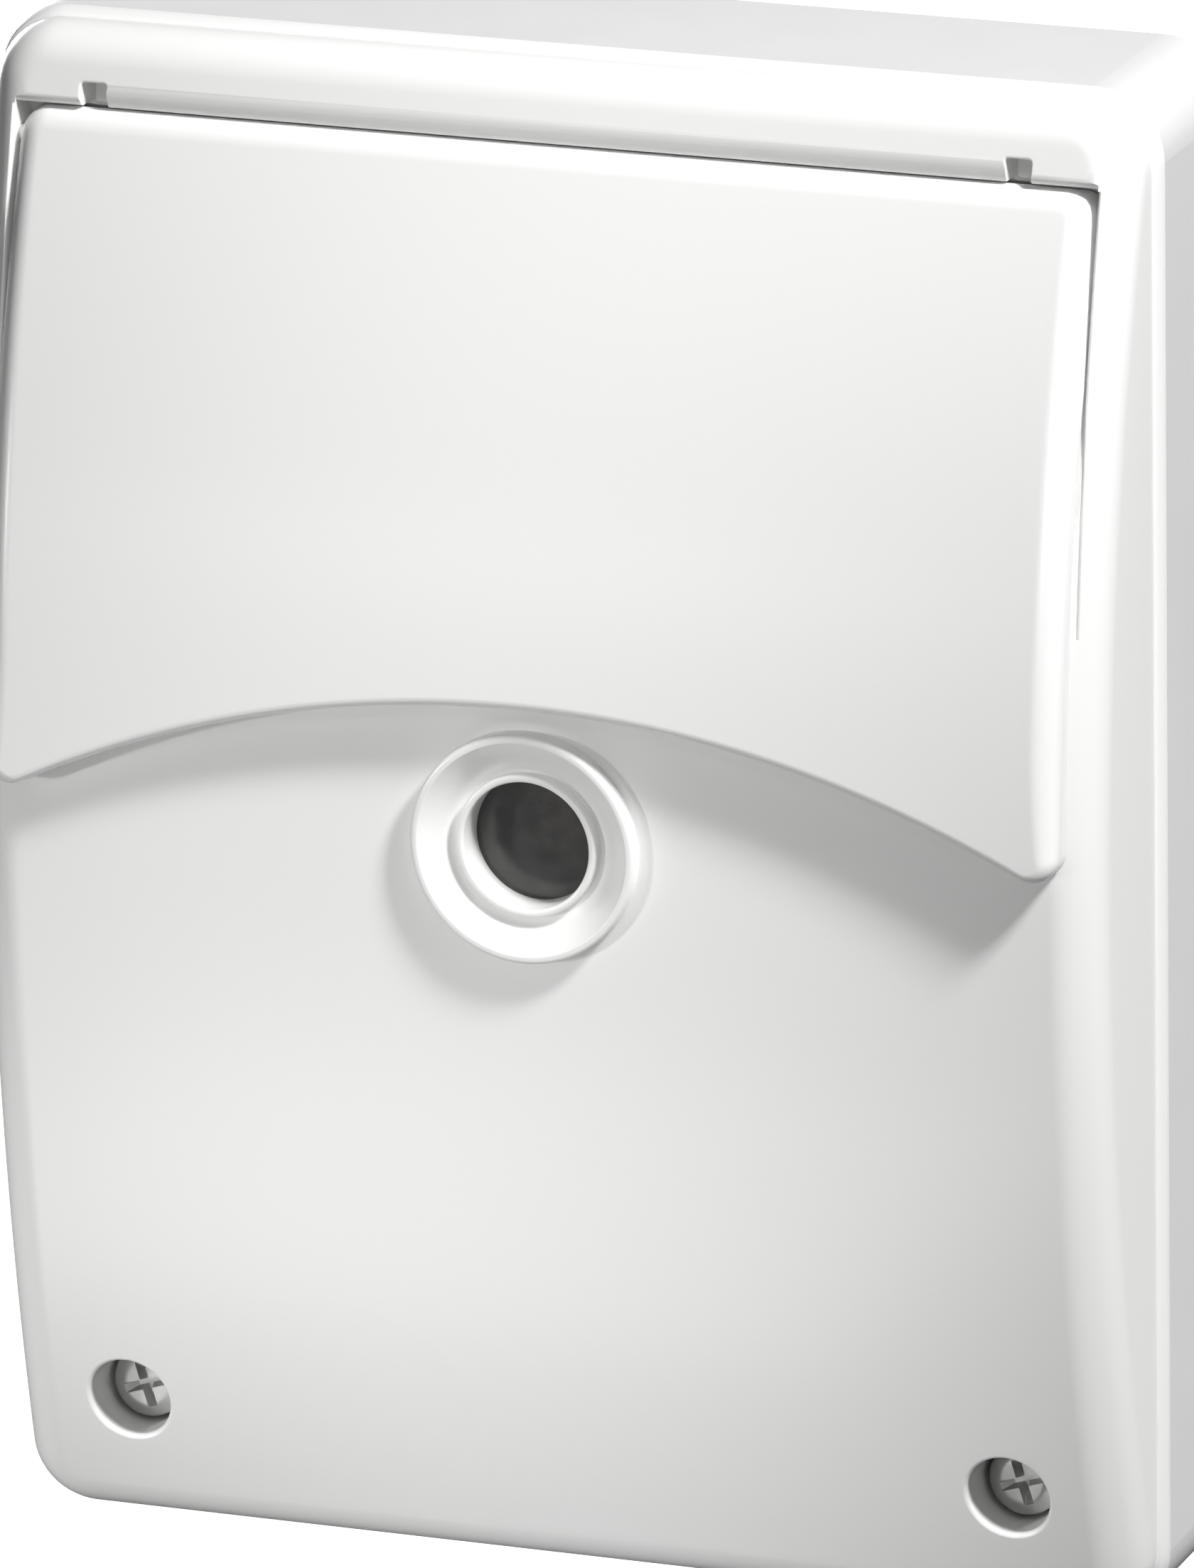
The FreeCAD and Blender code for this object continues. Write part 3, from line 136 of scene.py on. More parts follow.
SPOTS = (
    ("flap_spot", 15.0, 10.0, (0.0, -0.028, 0.028), 9.5, 0.44),
    ("edge_spot", 20.0, 32.0, (0.0, -0.018, 0.052), 8.0, 0.25),
    ("low_left", -45.0, 3.0, (-0.020, -0.026, -0.041), 8.0, 1.0),
    ("low_middle", -45.0, 3.0, (-0.004, -0.024, -0.055), 8.0, 0.4),
    ("low_front", -20.0, 5.0, (0.002, -0.022, -0.062), 9.0, 0.38),
    ("low_right", 86.0, 2.0, (0.042, -0.012, -0.045), 9.0, 0.42),
)


def bowed(z, bulge, bow):
    """Distance from the wall of a face bowed over its height: a circle of radius bow, crown at mid height."""
    return BASE_DEPTH + bulge - bow + np.sqrt(bow ** 2 - z ** 2)


HINGE_OUT = float(bowed(HINGE_HEIGHT, FLAP_BULGE - HINGE_BARREL, FLAP_BOW - HINGE_BARREL))


# Meshes from grids of points

def new_piece(name, points, faces, weld=0.002):
    """A mesh object from points (across, out from the wall, up) in millimetres, welded, faces outwards."""
    mesh = bpy.data.meshes.new(name)
    placed = np.column_stack([points[:, 0], -points[:, 1], points[:, 2]]) * MM
    mesh.from_pydata(placed.tolist(), [], faces)
    welded = bmesh.new()
    welded.from_mesh(mesh)
    bmesh.ops.remove_doubles(welded, verts=welded.verts, dist=weld * MM)
    bmesh.ops.recalc_face_normals(welded, faces=welded.faces)
    welded.to_mesh(mesh)
    welded.free()
    piece = bpy.data.objects.new(name, mesh)
    bpy.context.scene.collection.objects.link(piece)
    return piece


def grid_faces(rows, columns, closed=True):
    """Quads of a grid of rows by columns of points, the columns closed into a loop where asked."""
    last = columns if closed else columns - 1
    row, column = np.meshgrid(np.arange(rows - 1), np.arange(last), indexing="ij")
    following = (column + 1) % columns
    here, there = row * columns, (row + 1) * columns
    quads = np.stack([here + column, here + following, there + following, there + column], axis=-1)
    return quads.reshape(-1, 4).tolist()


def laid(plan, out):
    """Points of a plan (across, up) laid at a distance from the wall, one for all or one for each point."""
    return np.stack([plan[..., 0], np.broadcast_to(out, plan.shape[:-1]), plan[..., 1]], axis=-1)


def carried(name, grid):
    """A closed solid from a grid (rows, loop, 3): each row is a closed loop, and both end rows are capped."""
    rows, columns = grid.shape[:2]
    faces = grid_faces(rows, columns)
    faces.append(list(range(columns)))
    faces.append(list(range((rows - 1) * columns, rows * columns)))
    return new_piece(name, grid.reshape(-1, 3), faces)


def crowned(name, rings):
    """A closed solid from rings (rings, loop, 3): the first ring is capped, the last shrinks to a point.

    The weld is wide, because a rounding as wide as a corner of the outline draws its points together.
    """
    count, columns = rings.shape[:2]
    faces = grid_faces(count, columns)
    faces.append(list(range(columns)))
    return new_piece(name, rings.reshape(-1, 3), faces, weld=0.01)


def spun(name, points, closed):
    """A solid from a grid (round, profile, 3) that closes round its axis.

    The profile closes on itself as well, or it starts and ends on the axis.
    """
    count, columns = points.shape[:2]
    whole = np.concatenate([points, points[:1]])
    return new_piece(name, whole.reshape(-1, 3), grid_faces(count + 1, columns, closed))


def bar(name, outline, half):
    """A prism along the width: the outline (out, up) carried from -half to half across."""
    grid = np.empty((2, len(outline), 3))
    grid[:, :, 0] = [[-half], [half]]
    grid[:, :, 1:] = outline[None]
    return carried(name, grid)


def pad(name, outline, low, high):
    """A prism along the depth: the outline (across, up) carried from low to high."""
    return carried(name, np.stack([laid(outline, low), laid(outline, high)]))


def circle(radius, count=72, centre=(0.0, 0.0)):
    """Points round a circle and the directions away from its centre."""
    angle = np.linspace(0, 2 * np.pi, count, endpoint=False)
    way = np.column_stack([np.cos(angle), np.sin(angle)])
    return np.array(centre) + radius * way, way


def drill(name, radius, centre, low, high, count):
    """A round bar along the depth, from low to high."""
    return pad(name, circle(radius, count, centre)[0], low, high)


def rounded_box(half, corner, centre=(0.0, 0.0), steps=(40, 50), turns=10):
    """Points round a rectangle with round corners and the directions away from it, as (points, ways)."""
    inner = np.array(half) - corner
    stops = [(1, -1), (1, 1), (-1, 1), (-1, -1)]
    points, ways = [], []
    for side in range(4):
        start, end = np.array(stops[side]) * inner, np.array(stops[(side + 1) % 4]) * inner
        share = np.linspace(0, 1, steps[(side + 1) % 2], endpoint=False)[:, None]
        angle = side * np.pi / 2
        ways.append(np.tile([math.cos(angle), math.sin(angle)], (len(share), 1)))
        points.append(start + share * (end - start) + corner * ways[-1])
        turn = angle + np.linspace(0, np.pi / 2, turns, endpoint=False)
        ways.append(np.column_stack([np.cos(turn), np.sin(turn)]))
        points.append(end + corner * ways[-1])
    return np.concatenate(points) + np.array(centre), np.concatenate(ways)


def between(first, last, shares):
    """Directions on the arc from first to last, both (loop, 3), at each share from 0 to 1."""
    angle = np.arccos(np.clip((first * last).sum(axis=1), -1, 1))[None, :, None]
    shares = np.asarray(shares)[:, None, None]
    return (np.sin((1 - shares) * angle) * first + np.sin(shares * angle) * last) / np.sin(angle)


def bowed_blank(name, points, ways, radii, draft, bulge, bow, middle, back_rings, rings=26, turns=12):
    """A bowed shell's solid form, worked out as a ball rolled round it.

    points and ways are the outline at the joint and its outward directions in plan. The ball, radii wide,
    touches the drafted side and the bowed face from inside, so its centre lies one radius behind both: the
    place in plan is solved with the height by repetition. The rounding is the ball's arc from the side's
    direction to the face's. From there the face runs to its middle, each ring scaled towards that point.
    """
    slope = math.tan(draft)
    inset = radii / math.cos(draft)
    for _ in range(12):
        centre = points - inset[:, None] * ways
        height = BASE_DEPTH + bulge - bow + np.sqrt((bow - radii) ** 2 - centre[:, 1] ** 2)
        inset = (height - BASE_DEPTH) * slope + radii / math.cos(draft)
    side = laid(ways * math.cos(draft), math.sin(draft))
    tilt = centre[:, 1] / (bow - radii)
    front = np.column_stack([np.zeros(len(ways)), np.sqrt(1 - tilt ** 2), tilt])
    turned = between(side, front, np.linspace(0, 1, turns))
    arc = laid(centre, height)[None] + radii[None, :, None] * turned
    shares = np.linspace(1, 0, rings)[1:, None, None]
    plan = np.array(middle) + shares * (arc[-1][:, [0, 2]] - np.array(middle))[None]
    face = laid(plan, bowed(plan[..., 1], bulge, bow))
    return crowned(name, np.concatenate([back_rings, arc, face]))


def rim_arc(surface, slope, rounding, turns):
    """The arc that turns an opening's wall outwards near a surface, as (aside, out), both (turns, points).

    It meets the surface smoothly: its centre lies one rounding outside the wall and one behind the surface,
    which rises by this slope away from the opening.
    """
    length = np.sqrt(1 + slope ** 2)
    depth = surface + rounding * (slope - length) + OVERCUT
    angle = np.linspace(0, 1, turns)[:, None] * np.arccos(slope / length)[None]
    return rounding * (1 - np.cos(angle)), depth[None] + rounding * np.sin(angle)


def mouth(name, points, ways, floor, surface, rounding, turns=6):
    """A cutter for an opening with a rounded mouth.

    Its wall follows the outline from the floor up and turns outwards near the surface, whose slope away
    from the opening is measured on both sides of the outline.
    """
    ahead, behind = points + PROBE * ways, points - PROBE * ways
    slope = (surface(ahead[:, 0], ahead[:, 1]) - surface(behind[:, 0], behind[:, 1])) / (2 * PROBE)
    aside, out = rim_arc(surface(points[:, 0], points[:, 1]), slope, rounding, turns)
    wider = points + aside[..., None] * ways
    rings = [laid(points, floor)[None], laid(wider, out), laid(wider[-1:], MOUTH_TOP)]
    return carried(name, np.concatenate(rings))


def boolean(piece, others, operation="DIFFERENCE"):
    """Cuts the others out of the piece, or joins them to it, with exact booleans in order."""
    for other in others:
        change = piece.modifiers.new(other.name, "BOOLEAN")
        change.operation = operation
        change.solver = "EXACT"
        change.object = other
    evaluated = piece.evaluated_get(bpy.context.evaluated_depsgraph_get())
    changed = bpy.data.meshes.new_from_object(evaluated)
    old = piece.data
    piece.modifiers.clear()
    piece.data = changed
    bpy.data.meshes.remove(old)
    for other in others:
        bpy.data.objects.remove(other)
    return piece


def smooth(piece, bows=(), sharp=28.0):
    """Shades a piece smooth up to a sharp angle in degrees, with the exact normals of its bowed faces.

    A corner of a face that lies on a bow (bulge, bow) takes the direction away from that bow's axis.
    """
    mesh = piece.data
    mesh.polygons.foreach_set("use_smooth", np.ones(len(mesh.polygons), dtype=bool))
    mesh.set_sharp_from_angle(angle=math.radians(sharp))
    if not bows:
        return
    corners = len(mesh.loops)
    points = np.empty(len(mesh.vertices) * 3)
    mesh.vertices.foreach_get("co", points)
    points = points.reshape(-1, 3) / MM
    used = np.empty(corners, dtype=int)
    mesh.loops.foreach_get("vertex_index", used)
    facing = np.empty(len(mesh.polygons) * 3)
    mesh.polygons.foreach_get("normal", facing)
    sizes = np.empty(len(mesh.polygons), dtype=int)
    mesh.polygons.foreach_get("loop_total", sizes)
    starts = np.concatenate([[0], np.cumsum(sizes)[:-1]])
    facing = np.repeat(facing.reshape(-1, 3), sizes, axis=0)
    normals = np.zeros((corners, 3))
    for bulge, bow in bows:
        away = np.column_stack([
            np.zeros(corners), points[used, 1] + BASE_DEPTH + bulge - bow, points[used, 2]])
        reach = np.linalg.norm(away, axis=1)
        away /= reach[:, None]
        on_bow = np.abs(reach - bow) < 0.006
        whole = np.repeat(np.logical_and.reduceat(on_bow, starts), sizes)
        on_bow &= whole | ((away * facing).sum(axis=1) > 0.985)
        normals[on_bow] = away[on_bow]
    mesh.normals_split_custom_set(normals.tolist())


# Nodes of a material

def new_material(name, colour):
    """A fresh node material with its Principled shader, returned as (material, tree, shader)."""
    material = bpy.data.materials.new(name)
    material.use_nodes = True
    material.diffuse_color = (*colour[:3], 1.0)
    return material, material.node_tree, material.node_tree.nodes["Principled BSDF"]


def noise(tree, scale, detail=3.0, roughness=0.5):
    """A noise pattern on Object coordinates, with scale in waves per metre."""
    place = tree.nodes.new("ShaderNodeTexCoord")
    pattern = tree.nodes.new("ShaderNodeTexNoise")
    pattern.inputs["Scale"].default_value = scale
    pattern.inputs["Detail"].default_value = detail
    pattern.inputs["Roughness"].default_value = roughness
    tree.links.new(place.outputs["Object"], pattern.inputs["Vector"])
    return pattern.outputs["Fac"]


def shade(colour, factor):
    """The colour made darker or lighter by a factor."""
    return tuple(min(1.0, channel * factor) for channel in colour[:3])


def ramp(tree, pattern, colour, low, high, start=0.3, end=0.7):
    """Turns a pattern into shades of a colour, from low to high times as bright."""
    shades = tree.nodes.new("ShaderNodeValToRGB")
    for element, place, factor in zip(shades.color_ramp.elements, (start, end), (low, high)):
        element.position = place
        element.color = (*shade(colour, factor), 1.0)
    tree.links.new(pattern, shades.inputs["Fac"])
    return shades.outputs["Color"]


def spread(tree, pattern, low, high):
    """Turns a pattern from 0 to 1 into numbers from low to high."""
    scale = tree.nodes.new("ShaderNodeMapRange")
    scale.inputs["To Min"].default_value = low
    scale.inputs["To Max"].default_value = high
    tree.links.new(pattern, scale.inputs["Value"])
    return scale.outputs["Result"]


def tint(tree, shader, pattern, colour, low, high, start=0.3, end=0.7):
    """Colours the surface by a pattern, in shades of one colour."""
    tree.links.new(ramp(tree, pattern, colour, low, high, start, end), shader.inputs["Base Color"])


def dull(tree, shader, pattern, low, high):
    """Sets the surface's roughness by a pattern, from low to high."""
    tree.links.new(spread(tree, pattern, low, high), shader.inputs["Roughness"])


def relief(tree, shader, pattern, depth):
    """Raises the surface by a pattern, depth metres from its low to its high."""
    bump = tree.nodes.new("ShaderNodeBump")
    bump.inputs["Distance"].default_value = depth
    bump.inputs["Strength"].default_value = 1.0
    tree.links.new(pattern, bump.inputs["Height"])
    tree.links.new(bump.outputs["Normal"], shader.inputs["Normal"])


def camera_choice(tree, camera, others, output):
    """Shows one shader to the camera and another to all other rays, for the floor and the world."""
    path = tree.nodes.new("ShaderNodeLightPath")
    choice = tree.nodes.new("ShaderNodeMixShader")
    tree.links.new(path.outputs["Is Camera Ray"], choice.inputs["Fac"])
    tree.links.new(others, choice.inputs[1])
    tree.links.new(camera, choice.inputs[2])
    tree.links.new(choice.outputs["Shader"], tree.nodes[output].inputs["Surface"])


def moulded_plastic(name, colour, roughness, mottle=0.015, grain=0.000012):
    """Injection-moulded plastic: clouds of faint colour, a fine satin grain and uneven gloss."""
    material, tree, shader = new_material(name, colour)
    tint(tree, shader, noise(tree, 60.0, detail=2.0), colour, 1 - mottle, 1 + mottle)
    dull(tree, shader, noise(tree, 180.0, detail=4.0), roughness * 0.85, roughness * 1.15)
    relief(tree, shader, noise(tree, 9000.0, detail=2.0), grain)
    return material


def worn_metal(name, colour, roughness, dirt=0.35):
    """Plated steel or brass: dull patches, a fine grain and dark dirt."""
    material, tree, shader = new_material(name, colour)
    patches = noise(tree, 900.0, detail=5.0, roughness=0.65)
    tint(tree, shader, patches, colour, 1 - dirt, 1.1, 0.35, 0.65)
    dull(tree, shader, patches, roughness * 1.4, roughness * 0.7)
    relief(tree, shader, noise(tree, 4000.0), 0.00002)
    shader.inputs["Metallic"].default_value = 1.0
    return material


def soft_rubber(name, colour):
    """Moulded rubber: matt, dusty and faintly grained."""
    material, tree, shader = new_material(name, colour)
    tint(tree, shader, noise(tree, 500.0, detail=4.0), colour, 0.9, 1.12)
    relief(tree, shader, noise(tree, 6000.0), 0.00002)
    shader.inputs["Roughness"].default_value = 0.75
    shader.inputs["Specular IOR Level"].default_value = 0.3
    return material


def clear_resin(name, colour, roughness, index, clarity=1.0):
    """Clear or tinted moulded resin with faint flow lines in its surface; less clarity makes it milky."""
    material, tree, shader = new_material(name, colour)
    flow = noise(tree, 700.0)
    tint(tree, shader, flow, colour, 0.8, 1.2)
    dull(tree, shader, flow, roughness * 0.7, roughness * 1.3)
    relief(tree, shader, flow, 0.00001)
    shader.inputs["Transmission Weight"].default_value = clarity
    shader.inputs["IOR"].default_value = index
    return material


def dipped_resin(name, colour):
    """Resin dip or cast: glossy, pooled unevenly, with a soft orange-peel surface."""
    material, tree, shader = new_material(name, colour)
    pools = noise(tree, 350.0)
    tint(tree, shader, pools, colour, 0.82, 1.1)
    dull(tree, shader, pools, 0.14, 0.26)
    relief(tree, shader, noise(tree, 1600.0, detail=2.0), 0.00005)
    shader.inputs["Coat Weight"].default_value = 0.3
    return material


def board_laminate(name, colour):
    """Lacquered glass-fibre board: the weave shows as crossing waves under a clear green lacquer."""
    material, tree, shader = new_material(name, colour)
    place = tree.nodes.new("ShaderNodeTexCoord")
    crossing = tree.nodes.new("ShaderNodeMath")
    crossing.operation = "MULTIPLY"
    for socket, direction in zip(crossing.inputs, ("X", "Z")):
        threads = tree.nodes.new("ShaderNodeTexWave")
        threads.bands_direction = direction
        threads.inputs["Scale"].default_value = 420.0
        threads.inputs["Distortion"].default_value = 0.6
        tree.links.new(place.outputs["Object"], threads.inputs["Vector"])
        tree.links.new(threads.outputs["Fac"], socket)
    weave = crossing.outputs["Value"]
    tint(tree, shader, weave, colour, 0.75, 1.25, 0.0, 1.0)
    relief(tree, shader, weave, 0.00001)
    shader.inputs["Roughness"].default_value = 0.28
    shader.inputs["Coat Weight"].default_value = 0.4
    return material


def two_zones(name, first, second, zone_maker):
    """Two finishes (colour, roughness, metal) on one solid: a value of 0 shows the first, 1 the second."""
    material, tree, shader = new_material(name, first[0])
    zone = zone_maker(tree)
    grain = noise(tree, 1200.0, detail=4.0)
    blend = tree.nodes.new("ShaderNodeMix")
    blend.data_type = "RGBA"
    tree.links.new(zone, blend.inputs["Factor"])
    tree.links.new(ramp(tree, grain, first[0], 0.85, 1.12), blend.inputs["A"])
    tree.links.new(ramp(tree, grain, second[0], 0.9, 1.08), blend.inputs["B"])
    tree.links.new(blend.outputs["Result"], shader.inputs["Base Color"])
    dull(tree, shader, zone, first[1], second[1])
    tree.links.new(spread(tree, zone, first[2], second[2]), shader.inputs["Metallic"])
    relief(tree, shader, grain, 0.00001)
    return material


def facing_front(tree):
    """1 where a surface faces away from the wall, else 0."""
    shape = tree.nodes.new("ShaderNodeNewGeometry")
    parts = tree.nodes.new("ShaderNodeSeparateXYZ")
    over = tree.nodes.new("ShaderNodeMath")
    over.operation = "LESS_THAN"
    over.inputs[1].default_value = -0.8
    tree.links.new(shape.outputs["Normal"], parts.inputs["Vector"])
    tree.links.new(parts.outputs["Y"], over.inputs[0])
    return over.outputs["Value"]


def middle_of(node, share):
    """A maker of a value that is 1 in the middle share of a CAD node's longest side, else 0."""
    low, high = (Vector(corner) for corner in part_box(node))
    size = high - low
    axis = max(range(3), key=lambda place: size[place])

    def value(tree):
        place = tree.nodes.new("ShaderNodeTexCoord")
        parts = tree.nodes.new("ShaderNodeSeparateXYZ")
        near = tree.nodes.new("ShaderNodeMath")
        near.operation = "COMPARE"
        near.inputs[1].default_value = (low + high)[axis] / 2
        near.inputs[2].default_value = size[axis] * share / 2
        tree.links.new(place.outputs["Object"], parts.inputs["Vector"])
        tree.links.new(parts.outputs["XYZ"[axis]], near.inputs[0])
        return near.outputs["Value"]

    return value


def dress(names, material):
    """Gives CAD nodes a finish in place of the plain one they came with."""
    for name in names:
        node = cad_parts[name]
        node.data.materials.clear()
        node.data.materials.append(material)


class SwitchFinishes(bpy.types.PropertyGroup):
    """Colours and gloss of the switch's outer pieces."""

    cover: bpy.props.FloatVectorProperty(
        name="Cover plastic", description="Colour of the cover and the flap",
        default=(0.80, 0.80, 0.80), subtype="COLOR", size=3, min=0.0, max=1.0)
    base: bpy.props.FloatVectorProperty(
        name="Base plastic", description="Colour of the base against the wall",
        default=(0.81, 0.81, 0.81), subtype="COLOR", size=3, min=0.0, max=1.0)
    gloss: bpy.props.FloatProperty(
        name="Cover roughness", description="Roughness of the cover's satin gloss",
        default=0.31, min=0.0, max=1.0, subtype="FACTOR")


class StudioSizes(bpy.types.PropertyGroup):
    """The camera's place and the strength of the studio's lights."""

    azimuth: bpy.props.FloatProperty(
        name="Camera azimuth", description="Angle of the camera to the right of the front",
        default=math.radians(20.712), unit="ROTATION")
    elevation: bpy.props.FloatProperty(
        name="Camera elevation", description="Angle of the camera above the switch",
        default=math.radians(17.372), unit="ROTATION")
    roll: bpy.props.FloatProperty(
        name="Camera roll", description="Turn of the camera about its own line of sight",
        default=math.radians(-0.888), unit="ROTATION")
    distance: bpy.props.FloatProperty(
        name="Camera distance", description="From the camera to the point it looks at",
        default=1.096, unit="LENGTH")
    lens: bpy.props.FloatProperty(
        name="Lens", description="Focal length on a 36 mm long side, in millimetres", default=361.57)
    key: bpy.props.FloatProperty(
        name="Key light", description="Power of the soft box at the upper right",
        default=4.15, unit="POWER")
    top: bpy.props.FloatProperty(
        name="Top light", description="Power of the soft box above", default=0.05, unit="POWER")
    back: bpy.props.FloatProperty(
        name="Back light", description="Power of the soft box behind the switch",
        default=4.6, unit="POWER")
    spots: bpy.props.FloatProperty(
        name="Spots", description="Power of the brightest spot on the front", default=17.0, unit="POWER")
    under: bpy.props.FloatProperty(
        name="Under light", description="Power of the small soft box below the front",
        default=0.033, unit="POWER")
    fill: bpy.props.FloatProperty(
        name="Fill light", description="Strength of the even light all round", default=0.03)
    floor: bpy.props.FloatProperty(
        name="Floor brightness", description="Own light of the floor near the switch",
        default=0.86, min=0.0, max=1.0, subtype="FACTOR")


class SwitchSizes(bpy.types.PropertyGroup):
    """Roundings of the switch's shells."""

    cover_round: bpy.props.FloatProperty(
        name="Cover rounding", description="Radius between the cover's face and sides",
        default=0.0035, unit="LENGTH")
    rim_round: bpy.props.FloatProperty(
        name="Rim rounding", description="Radius round the mouths of the cover's openings",
        default=0.00035, unit="LENGTH")
    flap_side_round: bpy.props.FloatProperty(
        name="Flap side rounding", description="Radius along the flap's sides",
        default=0.002, unit="LENGTH")
    flap_edge_round: bpy.props.FloatProperty(
        name="Flap edge rounding", description="Radius along the flap's arched edge",
        default=0.0007, unit="LENGTH")


class SWITCH_OT_finishes(bpy.types.Operator):
    """Gives every solid of the switch its finish"""

    bl_idname = "switch.finishes"
    bl_label = "Finishes"

    def execute(self, context):
        settings = context.scene.switch_finishes
        cover, base, gloss = tuple(settings.cover), tuple(settings.base), settings.gloss
        dark = moulded_plastic("control_body", (0.016, 0.016, 0.018), 0.45)
        epoxy = moulded_plastic("epoxy_black", (0.014, 0.014, 0.014), 0.6, grain=0.00002)
        zinc = worn_metal("zinc_steel", (0.40, 0.39, 0.37), 0.32)
        brass = worn_metal("clamp_brass", (0.55, 0.47, 0.30), 0.3)
        rubber = soft_rubber("seal_rubber", (0.10, 0.10, 0.105))
        sleeve, can = ((0.012, 0.012, 0.022), 0.3, 0.0), ((0.62, 0.62, 0.63), 0.35, 1.0)
        cap, tube = ((0.52, 0.48, 0.42), 0.25, 1.0), ((0.78, 0.76, 0.72), 0.35, 0.0)
        dress(["front_cover", "setting_flap"], moulded_plastic("cover_plastic", cover, gloss))
        dress(["base_housing"], moulded_plastic("base_plastic", base, 0.45))
        # The ring takes the cover's plastic at 0.74 of its brightness: painted shade that stands in for the
        # shade in the ring's bowl.
        dress(["sensor_bezel"], moulded_plastic("ring_plastic", shade(cover, 0.74), 0.3))
        dress(["cover_seal", "screw_seals"], rubber)
        dress(["cable_grommets"], soft_rubber("grommet_rubber", (0.27, 0.275, 0.285)))
        dress(["sensor_window"], clear_resin("smoked_window", (0.34, 0.335, 0.33), 0.2, 1.45, clarity=0.82))
        dress(["sensor_sleeve"], moulded_plastic("black_plastic", (0.04, 0.04, 0.04), 0.55))
        dress(["photoresistor"], moulded_plastic("cell_face", (0.26, 0.05, 0.02), 0.3, mottle=0.2))
        dress(["lux_dial"], moulded_plastic("dial_plastic", (0.035, 0.038, 0.042), 0.42))
        dress(["potentiometer_body", "selector_switch_body"], dark)
        dress(["mode_selector"], moulded_plastic("selector_plastic", (0.36, 0.010, 0.006), 0.38))
        dress(["status_lamp"], clear_resin("lamp_resin", (0.75, 0.03, 0.02), 0.12, 1.5))
        dress(["lamp_light_guide"], clear_resin("guide_plastic", (0.86, 0.88, 0.88), 0.15, 1.49))
        dress(["circuit_board"], board_laminate("board_laminate", (0.006, 0.085, 0.022)))
        dress(["cover_screws", "board_screws", "terminal_screws"], zinc)
        dress(["relay"], moulded_plastic("relay_plastic", (0.006, 0.022, 0.17), 0.4))
        dress(["film_capacitor"], dipped_resin("film_resin", (0.52, 0.26, 0.012)))
        dress(["electrolytic_capacitor"], two_zones("can_aluminium", sleeve, can, facing_front))
        dress(["varistor"], dipped_resin("disc_resin", (0.008, 0.045, 0.24)))
        dress(["fuse"], two_zones("fuse_metal", cap, tube, middle_of("fuse", 0.5)))
        dress(["bridge_rectifier", "control_chip"], epoxy)
        dress(["series_resistor"], moulded_plastic(
            "resistor_lacquer", (0.27, 0.22, 0.12), 0.5, mottle=0.12, grain=0.00003))
        dress(["terminal_block"], moulded_plastic("block_plastic", (0.48, 0.48, 0.45), 0.48))
        dress(["terminal_clamps", "terminal_tails"], brass)
        return {"FINISHED"}


# Cover

def lower_face(x, z):
    """Distance of the cover's bowed face from the wall."""
    return bowed(z, COVER_BULGE, COVER_BOW)


def bed_face(x, z):
    """Distance from the wall of the floor under the flap: the flap's own bow, one wall and gap lower."""
    return bowed(z, FLAP_BULGE - FLAP_WALL - FLAP_GAP, FLAP_BOW - FLAP_WALL - FLAP_GAP)


def open_face(x, z):
    """What is seen with the flap open: the lower of the face and the bed."""
    return np.minimum(lower_face(x, z), bed_face(x, z))


def side_face(x, z, radius):
    """Distance from the wall of the rounding along the cover's sides, at x across and height z.

    The ball that rounds the side is found by repetition: its centre's height gives the direction that
    reaches x, and that direction gives the centre's height again.
    """
    level = np.array(z, dtype=float)
    slope = math.tan(COVER_DRAFT)
    for _ in range(12):
        out = BASE_DEPTH + COVER_BULGE - COVER_BOW + np.sqrt((COVER_BOW - radius) ** 2 - level ** 2)
        across = CASE_HALF[0] - LIP_STEP - (out - BASE_DEPTH) * slope - radius / math.cos(COVER_DRAFT)
        tilt = level / (COVER_BOW - radius)
        front = np.sqrt(1 - tilt ** 2)
        angle = np.arccos(front * math.sin(COVER_DRAFT))
        rest = np.arcsin(np.clip((x - across) / radius / math.cos(COVER_DRAFT) * np.sin(angle), -1, 1))
        share_side = np.sin(rest) / np.sin(angle)
        share_front = np.sin(angle - rest) / np.sin(angle)
        level = z - radius * share_front * tilt
    return out + radius * (share_side * math.sin(COVER_DRAFT) + share_front * front)


def cover_blank(radius):
    """The cover's outer form: lip, drafted sides, rolled rounding and bowed face."""
    sides = (CASE_HALF[0] - LIP_STEP, CASE_HALF[1] - LIP_STEP)
    points, ways = rounded_box(sides, CASE_CORNER, steps=(44, 60), turns=12)
    lip, _ = rounded_box(CASE_HALF, CASE_CORNER, steps=(44, 60), turns=12)
    taper = math.tan(math.radians(45.0 * LIP_STEP / LIP_DEPTH))
    behind = np.stack([laid(outline - inset * ways, out) for inset, out, outline in (
        (0.0, BASE_DEPTH, lip),
        (taper * (LIP_DEPTH - 0.15), BASE_DEPTH + LIP_DEPTH - 0.15, lip),
        (taper * LIP_DEPTH + 0.1, BASE_DEPTH + LIP_DEPTH, lip),
        (math.tan(COVER_DRAFT) * (LIP_DEPTH + 0.03), BASE_DEPTH + LIP_DEPTH + 0.03, points),
    )])
    return bowed_blank(
        "cover", points, ways, np.full(len(points), radius), COVER_DRAFT, COVER_BULGE, COVER_BOW,
        (0.0, 0.0), behind)


